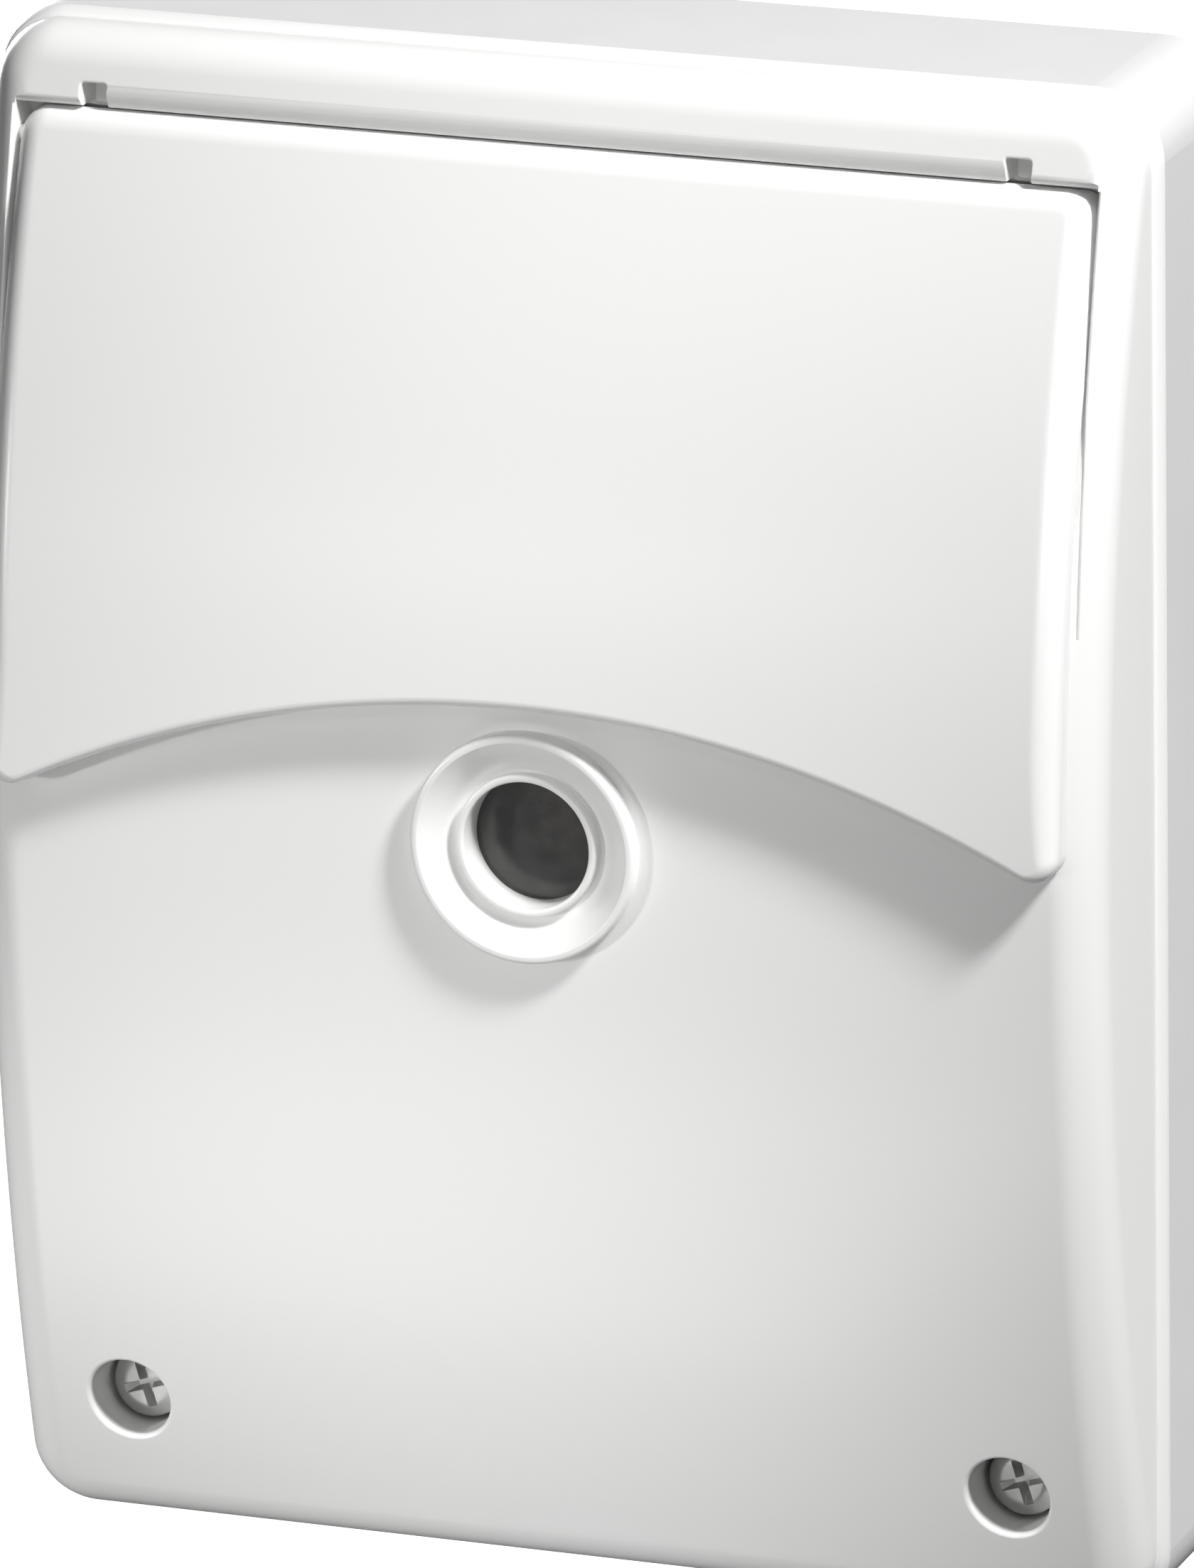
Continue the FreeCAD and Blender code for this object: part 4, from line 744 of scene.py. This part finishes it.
def cover_hollow():
    """The room behind the cover's face, clear of the well, the flap's bed, the hinge and the screws."""
    top = HINGE_HEIGHT - HINGE_BARREL - FLAP_GAP - 1.0
    middle = np.array((0.0, (top + HOLLOW_BOTTOM) / 2))
    half = (HOLLOW_HALF, (top - HOLLOW_BOTTOM) / 2)
    points, ways = rounded_box(half, HOLLOW_CORNER, middle, steps=(30, 40), turns=6)
    shares = np.linspace(1, 0, 22)[:, None, None]
    plan = middle + shares * (points - 0.7 * ways - middle)[None]
    under = FLAP_WALL + FLAP_GAP + WELL_WALL
    ceiling = np.minimum(
        bowed(plan[..., 1], COVER_BULGE - COVER_WALL, COVER_BOW - COVER_WALL),
        bowed(plan[..., 1], FLAP_BULGE - under, FLAP_BOW - under))
    rings = np.stack([laid(points, 13.5), laid(points, 14.0)])
    hollow = crowned("cover_hollow", np.concatenate([rings, laid(plan, ceiling)]))
    outline, _ = rounded_box(
        np.array(WELL_HALF) + WELL_WALL, WELL_CORNER + WELL_WALL, WELL_MIDDLE, steps=(6, 6))
    blocks = [pad("well_block", outline, WELL_FLOOR - WELL_WALL, FAR)]
    for side in ENDS:
        place = (side * SCREW_PLACE[0], SCREW_PLACE[1])
        blocks.append(drill("screw_tube", SCREW_TUBE, place, 10.0, FAR, 40))
    return boolean(hollow, blocks)


def bed_cutter(radius, rounding):
    """What the flap's bed takes out of the cover: floor, hinge trough and sides with rounded rims.

    Each row across has the lower of the bed's bow and the trough's circle as its floor. At both ends
    the wall turns outwards near the rounded side of the cover, on an arc that meets it smoothly.
    """
    half, reach = FLAP_HALF + FLAP_GAP, HINGE_BARREL + FLAP_GAP
    turn = np.radians(0.5 + 172.0 * np.linspace(0, 1, 20))
    rows = np.concatenate([
        np.linspace(BED_LOW, HINGE_HEIGHT - reach, 44), HINGE_HEIGHT - reach * np.cos(turn), [BED_TOP]])
    floor = bed_face(0, rows)
    inside = np.abs(rows - HINGE_HEIGHT) < reach
    trough = HINGE_OUT - np.sqrt(np.where(inside, reach ** 2 - (rows - HINGE_HEIGHT) ** 2, 0))
    floor = np.where(inside, np.minimum(floor, trough), floor)
    slope = (side_face(half + PROBE, rows, radius) - side_face(half - PROBE, rows, radius)) / (2 * PROBE)
    aside, rise = rim_arc(side_face(half, rows, radius), slope, rounding, 6)
    wall_x, wall_out = half + aside.T, rise.T
    across = np.concatenate([
        [[-half, half]] * len(rows), wall_x, wall_x[:, -1:], -wall_x[:, -1:], -wall_x[:, ::-1]], axis=1)
    out = np.concatenate([
        np.stack([floor, floor], axis=1), wall_out, np.full((len(rows), 2), FAR), wall_out[:, ::-1]], axis=1)
    grid = np.stack([across, out, np.broadcast_to(rows[:, None], across.shape)], axis=-1)
    return carried("flap_bed", grid)


def rolled_edge(name, half, top, radius):
    """What is cut off above the flap so that the cover's edge rolls over, tangent to its bowed face."""
    share = 1 - radius / COVER_BOW
    level = top * share
    out = BASE_DEPTH + COVER_BULGE - COVER_BOW + math.sqrt(COVER_BOW ** 2 - top ** 2) * share
    last = math.asin(top / COVER_BOW) - 0.02
    first = math.asin((BED_TOP - level) / radius)
    angle = np.linspace(first, last, 14)
    arc = np.column_stack([out + radius * np.cos(angle), level + radius * np.sin(angle)])
    outline = np.concatenate([
        arc, [[FAR, arc[-1, 1]], [FAR, BED_TOP - 0.5], [arc[0, 0], BED_TOP - 0.5]]])
    return bar(name, outline, half)


class SWITCH_OT_cover(bpy.types.Operator):
    """Makes the bowed cover with the flap's bed, the well, the windows and the screw holes"""

    bl_idname = "switch.cover"
    bl_label = "Cover"

    def execute(self, context):
        sizes = context.scene.switch_sizes
        radius, rim = sizes.cover_round / MM, sizes.rim_round / MM
        half, under = FLAP_HALF + FLAP_GAP, FLAP_WALL + FLAP_GAP
        piece = cover_blank(radius)
        well, ways = rounded_box(WELL_HALF, WELL_CORNER, WELL_MIDDLE, steps=(30, 20), turns=8)
        slot, _ = rounded_box(SLOT_HALF, 0.3, (SLOT_PLACE, CONTROL_HEIGHT), steps=(2, 2), turns=4)
        hinge, _ = circle(HINGE_HOLE, 24, (HINGE_OUT, HINGE_HEIGHT))
        cutters = [
            cover_hollow(),
            bed_cutter(radius, rim * 0.6),
            rolled_edge("bead", WINDOW_PLACE[0], BEAD_TOP, BEAD_ROUND),
            rolled_edge("corner_bead", half, CORNER_BEAD_TOP, CORNER_BEAD_ROUND),
            mouth("well", well, ways, WELL_FLOOR, open_face, rim),
            drill("sensor_hole", SENSOR_HOLE, SENSOR_PLACE, NEAR, FAR, 96),
            drill("dial_hole", DIAL_HOLE, (DIAL_PLACE, CONTROL_HEIGHT), NEAR, CONTROL_FRONT, 48),
            drill("lamp_hole", LAMP_HOLE, (LAMP_PLACE, CONTROL_HEIGHT), NEAR, CONTROL_FRONT, 32),
            pad("selector_slot", slot, NEAR, CONTROL_FRONT),
            bar("hinge_holes", hinge, half + HINGE_HOLE_DEPTH),
        ]
        seat = float(lower_face(0, SCREW_PLACE[1])) - BORE_DEPTH
        for side in ENDS:
            place = (side * WINDOW_PLACE[0], WINDOW_PLACE[1])
            outline, ways = rounded_box(WINDOW_HALF, WINDOW_CORNER, place, steps=(3, 3), turns=4)
            cutters.append(mouth("window", outline, ways, WINDOW_FLOOR, lower_face, WINDOW_RIM, turns=4))
            place = (side * SCREW_PLACE[0], SCREW_PLACE[1])
            outline, ways = circle(BORE_RADIUS, 72, place)
            cutters.append(mouth("counterbore", outline, ways, seat, lower_face, rim))
            cutters.append(drill("screw_hole", SCREW_HOLE, place, NEAR, seat + 1.0, 32))
        boolean(piece, cutters)
        smooth(piece, [(COVER_BULGE, COVER_BOW), (FLAP_BULGE - under, FLAP_BOW - under)])
        piece.data.materials.append(bpy.data.materials["cover_plastic"])
        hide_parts("front_cover")
        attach(piece, "housing")
        return {"FINISHED"}


# Flap

def flap_outline(sizes):
    """The flap's outline seen from the front, its outward directions, and the rounding at every point.

    The sides and the top are straight, the lower edge is an arc that is high in the middle, and the lower
    corners touch both. The rounding is that of the barrel along the top, wide down the sides, and narrows
    round the lower corners to that of the arched edge.
    """
    side, edge = sizes.flap_side_round / MM, sizes.flap_edge_round / MM
    corner, low_round = FLAP_CORNER, FLAP_LOW_ROUND
    half, top = FLAP_HALF + EDGE_TAKEN, HINGE_HEIGHT + HINGE_BARREL + EDGE_TAKEN
    arch_level = FLAP_APEX - FLAP_ARCH
    low_x = half - corner
    low_z = arch_level + math.sqrt((FLAP_ARCH + corner) ** 2 - low_x ** 2)
    lean = math.asin(low_x / (FLAP_ARCH + corner))
    meets = 270.0 - math.degrees(lean)
    turn = HINGE_BARREL + 0.25
    high = np.array((half - turn, top - turn))

    def turned(centre, radius, start, end, count, first, last):
        angle = np.radians(np.linspace(start, end, count, endpoint=False))
        ways = np.column_stack([np.cos(angle), np.sin(angle)])
        return np.array(centre) + radius * ways, ways, np.linspace(first, last, count, endpoint=False)

    def straight(x, z, way, rounding):
        points = np.column_stack(np.broadcast_arrays(x, z))
        return points, np.tile(way, (len(points), 1)), np.broadcast_to(rounding, len(points))

    def side_round(z):
        return side - (side - low_round) * np.clip(1 - (z - low_z) / 9.0, 0, 1) ** 2

    share = np.linspace(0, 1, 60, endpoint=False)
    right_z, left_z = low_z + share * (high[1] - low_z), high[1] + share * (low_z - high[1])
    bend = np.linspace(-lean, lean, 90, endpoint=False)
    away = np.column_stack([np.sin(bend), np.cos(bend)])
    parts = [
        straight(half, right_z, (1.0, 0.0), side_round(right_z)),
        turned(high, turn, 0, 90, 12, side, HINGE_BARREL),
        straight(np.linspace(1, -1, 60, endpoint=False) * high[0], top, (0.0, 1.0), HINGE_BARREL),
        turned(high * (-1, 1), turn, 90, 180, 12, HINGE_BARREL, side),
        straight(-half, left_z, (-1.0, 0.0), side_round(left_z)),
        turned((-low_x, low_z), corner, 180, 540 - meets, 14, low_round, edge),
        (np.array((0.0, arch_level)) + FLAP_ARCH * away, -away, np.full(90, edge)),
        turned((low_x, low_z), corner, meets, 360, 14, edge, low_round),
    ]
    return tuple(np.concatenate([part[place] for part in parts]) for place in range(3))


def flap_underside():
    """What lies under the flap: the bed's side of its wall, the cover's face, and all round the barrel.

    The outline runs up the cover's face and one gap to where that crosses the back of the flap's wall,
    along the wall to the barrel, and round the back of the barrel to its top.
    """
    z = np.linspace(-30, 48, 800)
    near = np.minimum(bowed(z, COVER_BULGE + FLAP_GAP, COVER_BOW + FLAP_GAP),
                      bowed(z, FLAP_BULGE - FLAP_WALL, FLAP_BOW - FLAP_WALL))
    apart = np.hypot(near - HINGE_OUT, z - HINGE_HEIGHT)
    kept = (z < HINGE_HEIGHT) & (apart > HINGE_BARREL)
    face = np.column_stack([near[kept], z[kept]])
    start = math.degrees(math.atan2(face[-1, 1] - HINGE_HEIGHT, face[-1, 0] - HINGE_OUT))
    angle = np.radians(np.linspace(start, -270.0, 40))
    barrel = np.column_stack([
        HINGE_OUT + HINGE_BARREL * np.cos(angle), HINGE_HEIGHT + HINGE_BARREL * np.sin(angle)])
    outline = np.concatenate([face, barrel, [[HINGE_OUT, 60.0], [NEAR, 60.0], [NEAR, -30.0]]])
    return bar("flap_underside", outline, 45.0)


def flap_hollow():
    """The hollow inside the flap's skirt: up to one wall below its face, one wall inside its outline."""
    across = np.linspace(-(FLAP_HALF - FLAP_WALL), FLAP_HALF - FLAP_WALL, 41)
    low = FLAP_APEX - FLAP_ARCH + np.sqrt((FLAP_ARCH + FLAP_WALL) ** 2 - across ** 2)
    up = low[:, None] + np.linspace(0, 1, 24)[None] * (FLAP_HOLLOW_TOP - low)[:, None]
    grid = np.empty((41, 26, 3))
    grid[:, :, 0] = across[:, None]
    grid[:, :24, 1], grid[:, :24, 2] = bowed(up, FLAP_BULGE - FLAP_WALL, FLAP_BOW - FLAP_WALL), up
    grid[:, 24:, 1] = 10.0
    grid[:, 24, 2], grid[:, 25, 2] = up[:, -1], up[:, 0]
    return carried("flap_hollow", grid)


class SWITCH_OT_flap(bpy.types.Operator):
    """Makes the bowed flap with its arched edge, its barrel along the top and its pins"""

    bl_idname = "switch.flap"
    bl_label = "Flap"

    def execute(self, context):
        points, ways, radii = flap_outline(context.scene.switch_sizes)
        piece = bowed_blank(
            "flap", points, ways, radii, 0.0, FLAP_BULGE, FLAP_BOW, (0.0, 30.0),
            laid(points, BASE_DEPTH)[None], rings=30)
        boolean(piece, [flap_underside(), flap_hollow()])
        pin, _ = circle(HINGE_PIN, 32, (HINGE_OUT, HINGE_HEIGHT))
        boolean(piece, [bar("flap_pins", pin, FLAP_HALF + PIN_REACH)], "UNION")
        smooth(piece, [(FLAP_BULGE, FLAP_BOW)])
        piece.data.materials.append(bpy.data.materials["cover_plastic"])
        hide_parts("setting_flap")
        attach(piece, "flap")
        return {"FINISHED"}


# Sensor and screws

def eased(corners, radii, turns=5):
    """A closed outline with each corner replaced by an arc of its own radius that touches both its edges.

    The arc's centre lies on the corner's bisector, radius / sin(half the corner's angle) away, and the arc
    swings from the foot on the edge before to the foot on the edge after.
    """
    corners, radii = np.asarray(corners, dtype=float), np.asarray(radii, dtype=float)[:, None]
    before = np.roll(corners, 1, axis=0) - corners
    after = np.roll(corners, -1, axis=0) - corners
    before /= np.linalg.norm(before, axis=1, keepdims=True)
    after /= np.linalg.norm(after, axis=1, keepdims=True)
    half = np.arccos(np.clip((before * after).sum(axis=1, keepdims=True), -1, 1)) / 2
    inward = (before + after) / np.linalg.norm(before + after, axis=1, keepdims=True)
    centre = corners + radii / np.sin(half) * inward
    start = (corners + radii / np.tan(half) * before - centre)[:, None]
    end = (corners + radii / np.tan(half) * after - centre)[:, None]
    share = np.linspace(0, 1, turns)[None, :, None]
    angle = (np.pi - 2 * half)[:, :, None]
    arc = (np.sin((1 - share) * angle) * start + np.sin(share * angle) * end) / np.sin(angle)
    return (centre[:, None] + arc).reshape(-1, 2)


def revolved(profile, count, centre):
    """Points (count, profile, 3) of a profile (radius, out) turned round an axis square to the wall."""
    _, way = circle(1.0, count)
    return laid(np.array(centre) + way[:, None] * profile[None, :, :1], profile[None, :, 1])


def joined(name, pieces):
    """Joins pieces' meshes into one object under a new name."""
    mesh = bpy.data.meshes.new(name)
    together = bmesh.new()
    for piece in pieces:
        together.from_mesh(piece.data)
        bpy.data.objects.remove(piece)
    together.to_mesh(mesh)
    together.free()
    whole = bpy.data.objects.new(name, mesh)
    bpy.context.scene.collection.objects.link(whole)
    return whole


def finished(piece, material, node, body="housing"):
    """Gives a piece its material in its one slot, and lets it stand for a CAD node on its body."""
    piece.data.materials.clear()
    piece.data.materials.append(bpy.data.materials[material])
    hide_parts(node)
    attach(piece, body)


def sensor_ring():
    """The ring: a thin inner lip, a bowl hollowed by a circle, a rolled outer edge and a neck in the cover.

    Where the ring lies on the cover, its back follows the cover's bow and sinks into it a little.
    """
    face = BASE_DEPTH + COVER_BULGE
    across = np.linspace(RING_LIP, RING_BOWL, 9)
    bowl = np.column_stack([across, face + BOWL_CENTRE - np.sqrt(BOWL_RADIUS ** 2 - across ** 2)])
    corners = np.concatenate([
        [(RING_BORE, PANE_FRONT), (RING_BORE, face + RING_RISE), (RING_LIP, face + RING_RISE)],
        bowl,
        [(RING_OUTER, face + 1.2), (RING_OUTER, face), (RING_SEAT, face)],
        [(RING_SEAT, PANE_BACK), (PANE_ROOM, PANE_BACK), (PANE_ROOM, PANE_FRONT)],
    ])
    radii = np.concatenate([
        [0.0, 0.22, 0.2, 0.12], np.zeros(len(bowl) - 2), [0.12, 0.3, 0.0, 0.0, 0.15, 0.15, 0.0]])
    profile = eased(corners, radii)
    points = revolved(profile, 120, SENSOR_PLACE)
    low = (profile[:, 0] > RING_SEAT - 0.01) & (np.abs(profile[:, 1] - face) < 1e-6)
    points[:, low, 1] = bowed(points[:, low, 2], COVER_BULGE, COVER_BOW) - RING_SUNK
    return spun("sensor_ring", points, closed=True)


class SWITCH_OT_sensor(bpy.types.Operator):
    """Turns the sensor's ring and the smoked window behind it"""

    bl_idname = "switch.sensor"
    bl_label = "Sensor"

    def execute(self, context):
        ring = sensor_ring()
        smooth(ring, sharp=35.0)
        finished(ring, "ring_plastic", "sensor_bezel")

        profile = eased(
            [(AXIS, PANE_BACK), (PANE_RADIUS, PANE_BACK), (PANE_RADIUS, PANE_FRONT), (AXIS, PANE_FRONT)],
            [0.0, 0.15, 0.15, 0.0])
        window = spun("smoked_disc", revolved(profile, 96, SENSOR_PLACE), closed=False)
        smooth(window, sharp=35.0)
        finished(window, "smoked_window", "sensor_window")
        return {"FINISHED"}


def recess(place, seat, turn):
    """A cutter for one bar of the cross recess, wider towards the top of the head."""
    outline, _ = rounded_box(CROSS_HALF, 0.12, steps=(2, 2), turns=4)
    spin = np.array([[np.cos(turn), -np.sin(turn)], [np.sin(turn), np.cos(turn)]])
    plan = outline @ spin.T
    levels = ((0.55, 0.8), (1.0, 1.55), (1.12, 1.9))
    return carried("recess", np.stack([laid(plan * width + place, seat + up) for width, up in levels]))


def screw(name, place, seat):
    """A pan-head cover screw: domed head with a cross recess, and a shank whose thread winds round it.

    The thread is a helix: the shank's radius swings between root and crest with the turn's angle and the
    distance from the head, one turn for each pitch, and narrows towards the tip.
    """
    corners = [
        (AXIS, seat), (HEAD_RADIUS, seat), (HEAD_RADIUS, seat + HEAD_SIDE), (1.6, seat + HEAD_HEIGHT),
        (AXIS, seat + HEAD_HEIGHT)]
    profile = eased(corners, [0.0, 0.15, 0.45, 0.9, 0.0])
    head = spun(name + "_head", revolved(profile, 64, place), closed=False)
    boolean(head, [recess(place, seat, turn) for turn in (CROSS_TURN, CROSS_TURN + np.pi / 2)])
    along = np.linspace(seat + 0.3, THREAD_END, 150)[:, None]
    phase = (along / THREAD_PITCH - np.linspace(0, 1, 32, endpoint=False)[None]) % 1.0
    radius = THREAD_CREST - THREAD_DEPTH * np.clip(np.abs(phase - 0.5) * 2.6 - 0.15, 0, 1)
    radius *= np.clip((along - THREAD_END) / THREAD_TIP, 0.25, 1.0)
    _, way = circle(1.0, 32)
    return [head, carried(name + "_thread", laid(place + radius[..., None] * way[None], along))]


class SWITCH_OT_screws(bpy.types.Operator):
    """Makes the two cover screws with their cross recesses and threads"""

    bl_idname = "switch.screws"
    bl_label = "Cover screws"

    def execute(self, context):
        seat = float(lower_face(0, SCREW_PLACE[1])) - HEAD_DEPTH
        pieces = []
        for side in ENDS:
            pieces += screw("cover_screw", np.array([side * SCREW_PLACE[0], SCREW_PLACE[1]]), seat)
        whole = joined("cover_screw_pair", pieces)
        smooth(whole, sharp=32.0)
        finished(whole, "zinc_steel", "cover_screws")
        return {"FINISHED"}


# Stage

def towards(azimuth, elevation):
    """The direction from the switch to a lamp, by degrees to the right of the front and above level."""
    turn, tilt = math.radians(azimuth), math.radians(elevation)
    return Vector((math.sin(turn) * math.cos(tilt), -math.cos(turn) * math.cos(tilt), math.sin(tilt)))


def hang(name, data, place, target, power):
    """Hangs a lamp at a place, turned to its target and out of the camera's sight."""
    data.energy = power
    lamp = bpy.data.objects.new(name, data)
    lamp.location = place
    lamp.rotation_mode = "QUATERNION"
    lamp.rotation_quaternion = (Vector(target) - Vector(place)).to_track_quat("-Z", "Y")
    lamp.visible_camera = False
    bpy.context.scene.collection.objects.link(lamp)


def soft_box(name, place, target, size, power):
    """A square soft box at a place, facing its target."""
    data = bpy.data.lights.new(name, "AREA")
    data.size = size
    hang(name, data, place, target, power)


def soft_spot(name, azimuth, elevation, target, angle, power):
    """A spot whose light fades out over its whole cone, aimed at one part of the switch."""
    data = bpy.data.lights.new(name, "SPOT")
    data.spot_size = math.radians(angle)
    data.spot_blend = 1.0
    data.shadow_soft_size = SPOT_RADIUS
    hang(name, data, Vector(target) + towards(azimuth, elevation) * SPOT_DISTANCE, target, power)


def pale_floor(name, near):
    """Floor whose own light is weaker near the switch and fades to white far away.

    Only the camera sees that light and the lamps' light on the floor, so the switch's shadow stays on it and
    the floor throws no glare back on the switch.
    """
    material, tree, shader = new_material(name, (0.9, 0.9, 0.9))
    shader.inputs["Base Color"].default_value = (0.55, 0.55, 0.55, 1.0)
    shader.inputs["Roughness"].default_value = 0.9
    shader.inputs["Specular IOR Level"].default_value = 0.0
    shader.inputs["Emission Color"].default_value = (1.0, 1.0, 1.0, 1.0)
    place = tree.nodes.new("ShaderNodeTexCoord")
    length = tree.nodes.new("ShaderNodeVectorMath")
    length.operation = "LENGTH"
    tree.links.new(place.outputs["Object"], length.inputs[0])
    fade = tree.nodes.new("ShaderNodeMapRange")
    fade.inputs["From Min"].default_value = FADE_START
    fade.inputs["From Max"].default_value = FADE_END
    fade.inputs["To Min"].default_value = near
    fade.inputs["To Max"].default_value = 1.0
    tree.links.new(length.outputs["Value"], fade.inputs["Value"])
    tree.links.new(fade.outputs["Result"], shader.inputs["Emission Strength"])
    matt = tree.nodes.new("ShaderNodeBsdfDiffuse")
    matt.inputs["Color"].default_value = (0.03, 0.03, 0.03, 1.0)
    camera_choice(tree, shader.outputs["BSDF"], matt.outputs["BSDF"], "Material Output")
    return material


def hang_camera(settings):
    """The camera at the photograph's angle, aimed a little beside the switch's middle."""
    turn, tilt, roll = settings.azimuth, settings.elevation, settings.roll
    sight = Vector((-np.sin(turn) * np.cos(tilt), np.cos(turn) * np.cos(tilt), -np.sin(tilt)))
    level = Vector((np.cos(turn), np.sin(turn), 0.0))
    upright = level.cross(sight)
    right = level * np.cos(roll) + upright * np.sin(roll)
    up = upright * np.cos(roll) - level * np.sin(roll)
    place = right * AIM_RIGHT + up * AIM_UP + Vector(AIM) - sight * settings.distance
    data = bpy.data.cameras.new("camera")
    data.sensor_fit = "AUTO"
    data.sensor_width = 36.0
    data.lens = settings.lens
    camera = bpy.data.objects.new("camera", data)
    camera.matrix_world = Matrix((
        (right.x, up.x, -sight.x, place.x),
        (right.y, up.y, -sight.y, place.y),
        (right.z, up.z, -sight.z, place.z),
        (0.0, 0.0, 0.0, 1.0),
    ))
    bpy.context.scene.collection.objects.link(camera)
    bpy.context.scene.camera = camera


def studio_world(fill):
    """An even faint light all round, which the camera sees as white."""
    world = bpy.data.worlds.new("studio")
    bpy.context.scene.world = world
    world.use_nodes = True
    tree = world.node_tree
    light, white = tree.nodes["Background"], tree.nodes.new("ShaderNodeBackground")
    for background, strength in ((light, fill), (white, 1.0)):
        background.inputs["Color"].default_value = (1.0, 1.0, 1.0, 1.0)
        background.inputs["Strength"].default_value = strength
    camera_choice(tree, white.outputs["Background"], light.outputs["Background"], "World Output")


class SWITCH_OT_stage(bpy.types.Operator):
    """Sets up the camera, the pale floor and the soft studio light"""

    bl_idname = "switch.stage"
    bl_label = "Stage"

    def execute(self, context):
        settings = context.scene.switch_studio
        hang_camera(settings)

        bpy.ops.mesh.primitive_plane_add(size=FLOOR_SIZE, location=(0.0, 0.0, CAD_BOX[0].z - FLOOR_DROP))
        floor = context.object
        floor.name = "floor"
        floor.data.materials.append(pale_floor("pale_floor", settings.floor))

        for name, azimuth, elevation, distance, size in BOXES:
            place = Vector(MIDDLE) + towards(azimuth, elevation) * distance
            soft_box(name, place, MIDDLE, size, getattr(settings, name))
        for name, azimuth, elevation, target, angle, share in SPOTS:
            soft_spot(name, azimuth, elevation, target, angle, settings.spots * share)
        soft_box("under", UNDER_PLACE, UNDER_TARGET, UNDER_SIZE, settings.under)
        studio_world(settings.fill)
        context.scene.view_settings.view_transform = "Standard"
        return {"FINISHED"}


class SWITCH_PT_sidebar(bpy.types.Panel):
    """The switch's pieces and stage, one button each"""

    bl_idname = "SWITCH_PT_sidebar"
    bl_label = "Twilight switch"
    bl_space_type = "VIEW_3D"
    bl_region_type = "UI"
    bl_category = "Twilight switch"

    def draw(self, context):
        for step in STEPS:
            self.layout.operator(step.bl_idname)


STEPS = (
    SWITCH_OT_finishes, SWITCH_OT_cover, SWITCH_OT_flap, SWITCH_OT_sensor, SWITCH_OT_screws, SWITCH_OT_stage,
)
CLASSES = (SwitchSizes, SwitchFinishes, StudioSizes, *STEPS, SWITCH_PT_sidebar)


def register():
    for entry in CLASSES:
        bpy.utils.register_class(entry)
    bpy.types.Scene.switch_sizes = bpy.props.PointerProperty(type=SwitchSizes)
    bpy.types.Scene.switch_finishes = bpy.props.PointerProperty(type=SwitchFinishes)
    bpy.types.Scene.switch_studio = bpy.props.PointerProperty(type=StudioSizes)


def unregister():
    del bpy.types.Scene.switch_studio
    del bpy.types.Scene.switch_finishes
    del bpy.types.Scene.switch_sizes
    for entry in reversed(CLASSES):
        bpy.utils.unregister_class(entry)


def main():
    register()
    bpy.ops.switch.finishes()
    bpy.ops.switch.cover()
    bpy.ops.switch.flap()
    bpy.ops.switch.sensor()
    bpy.ops.switch.screws()
    bpy.ops.switch.stage()


if __name__ == "__main__":
    main()
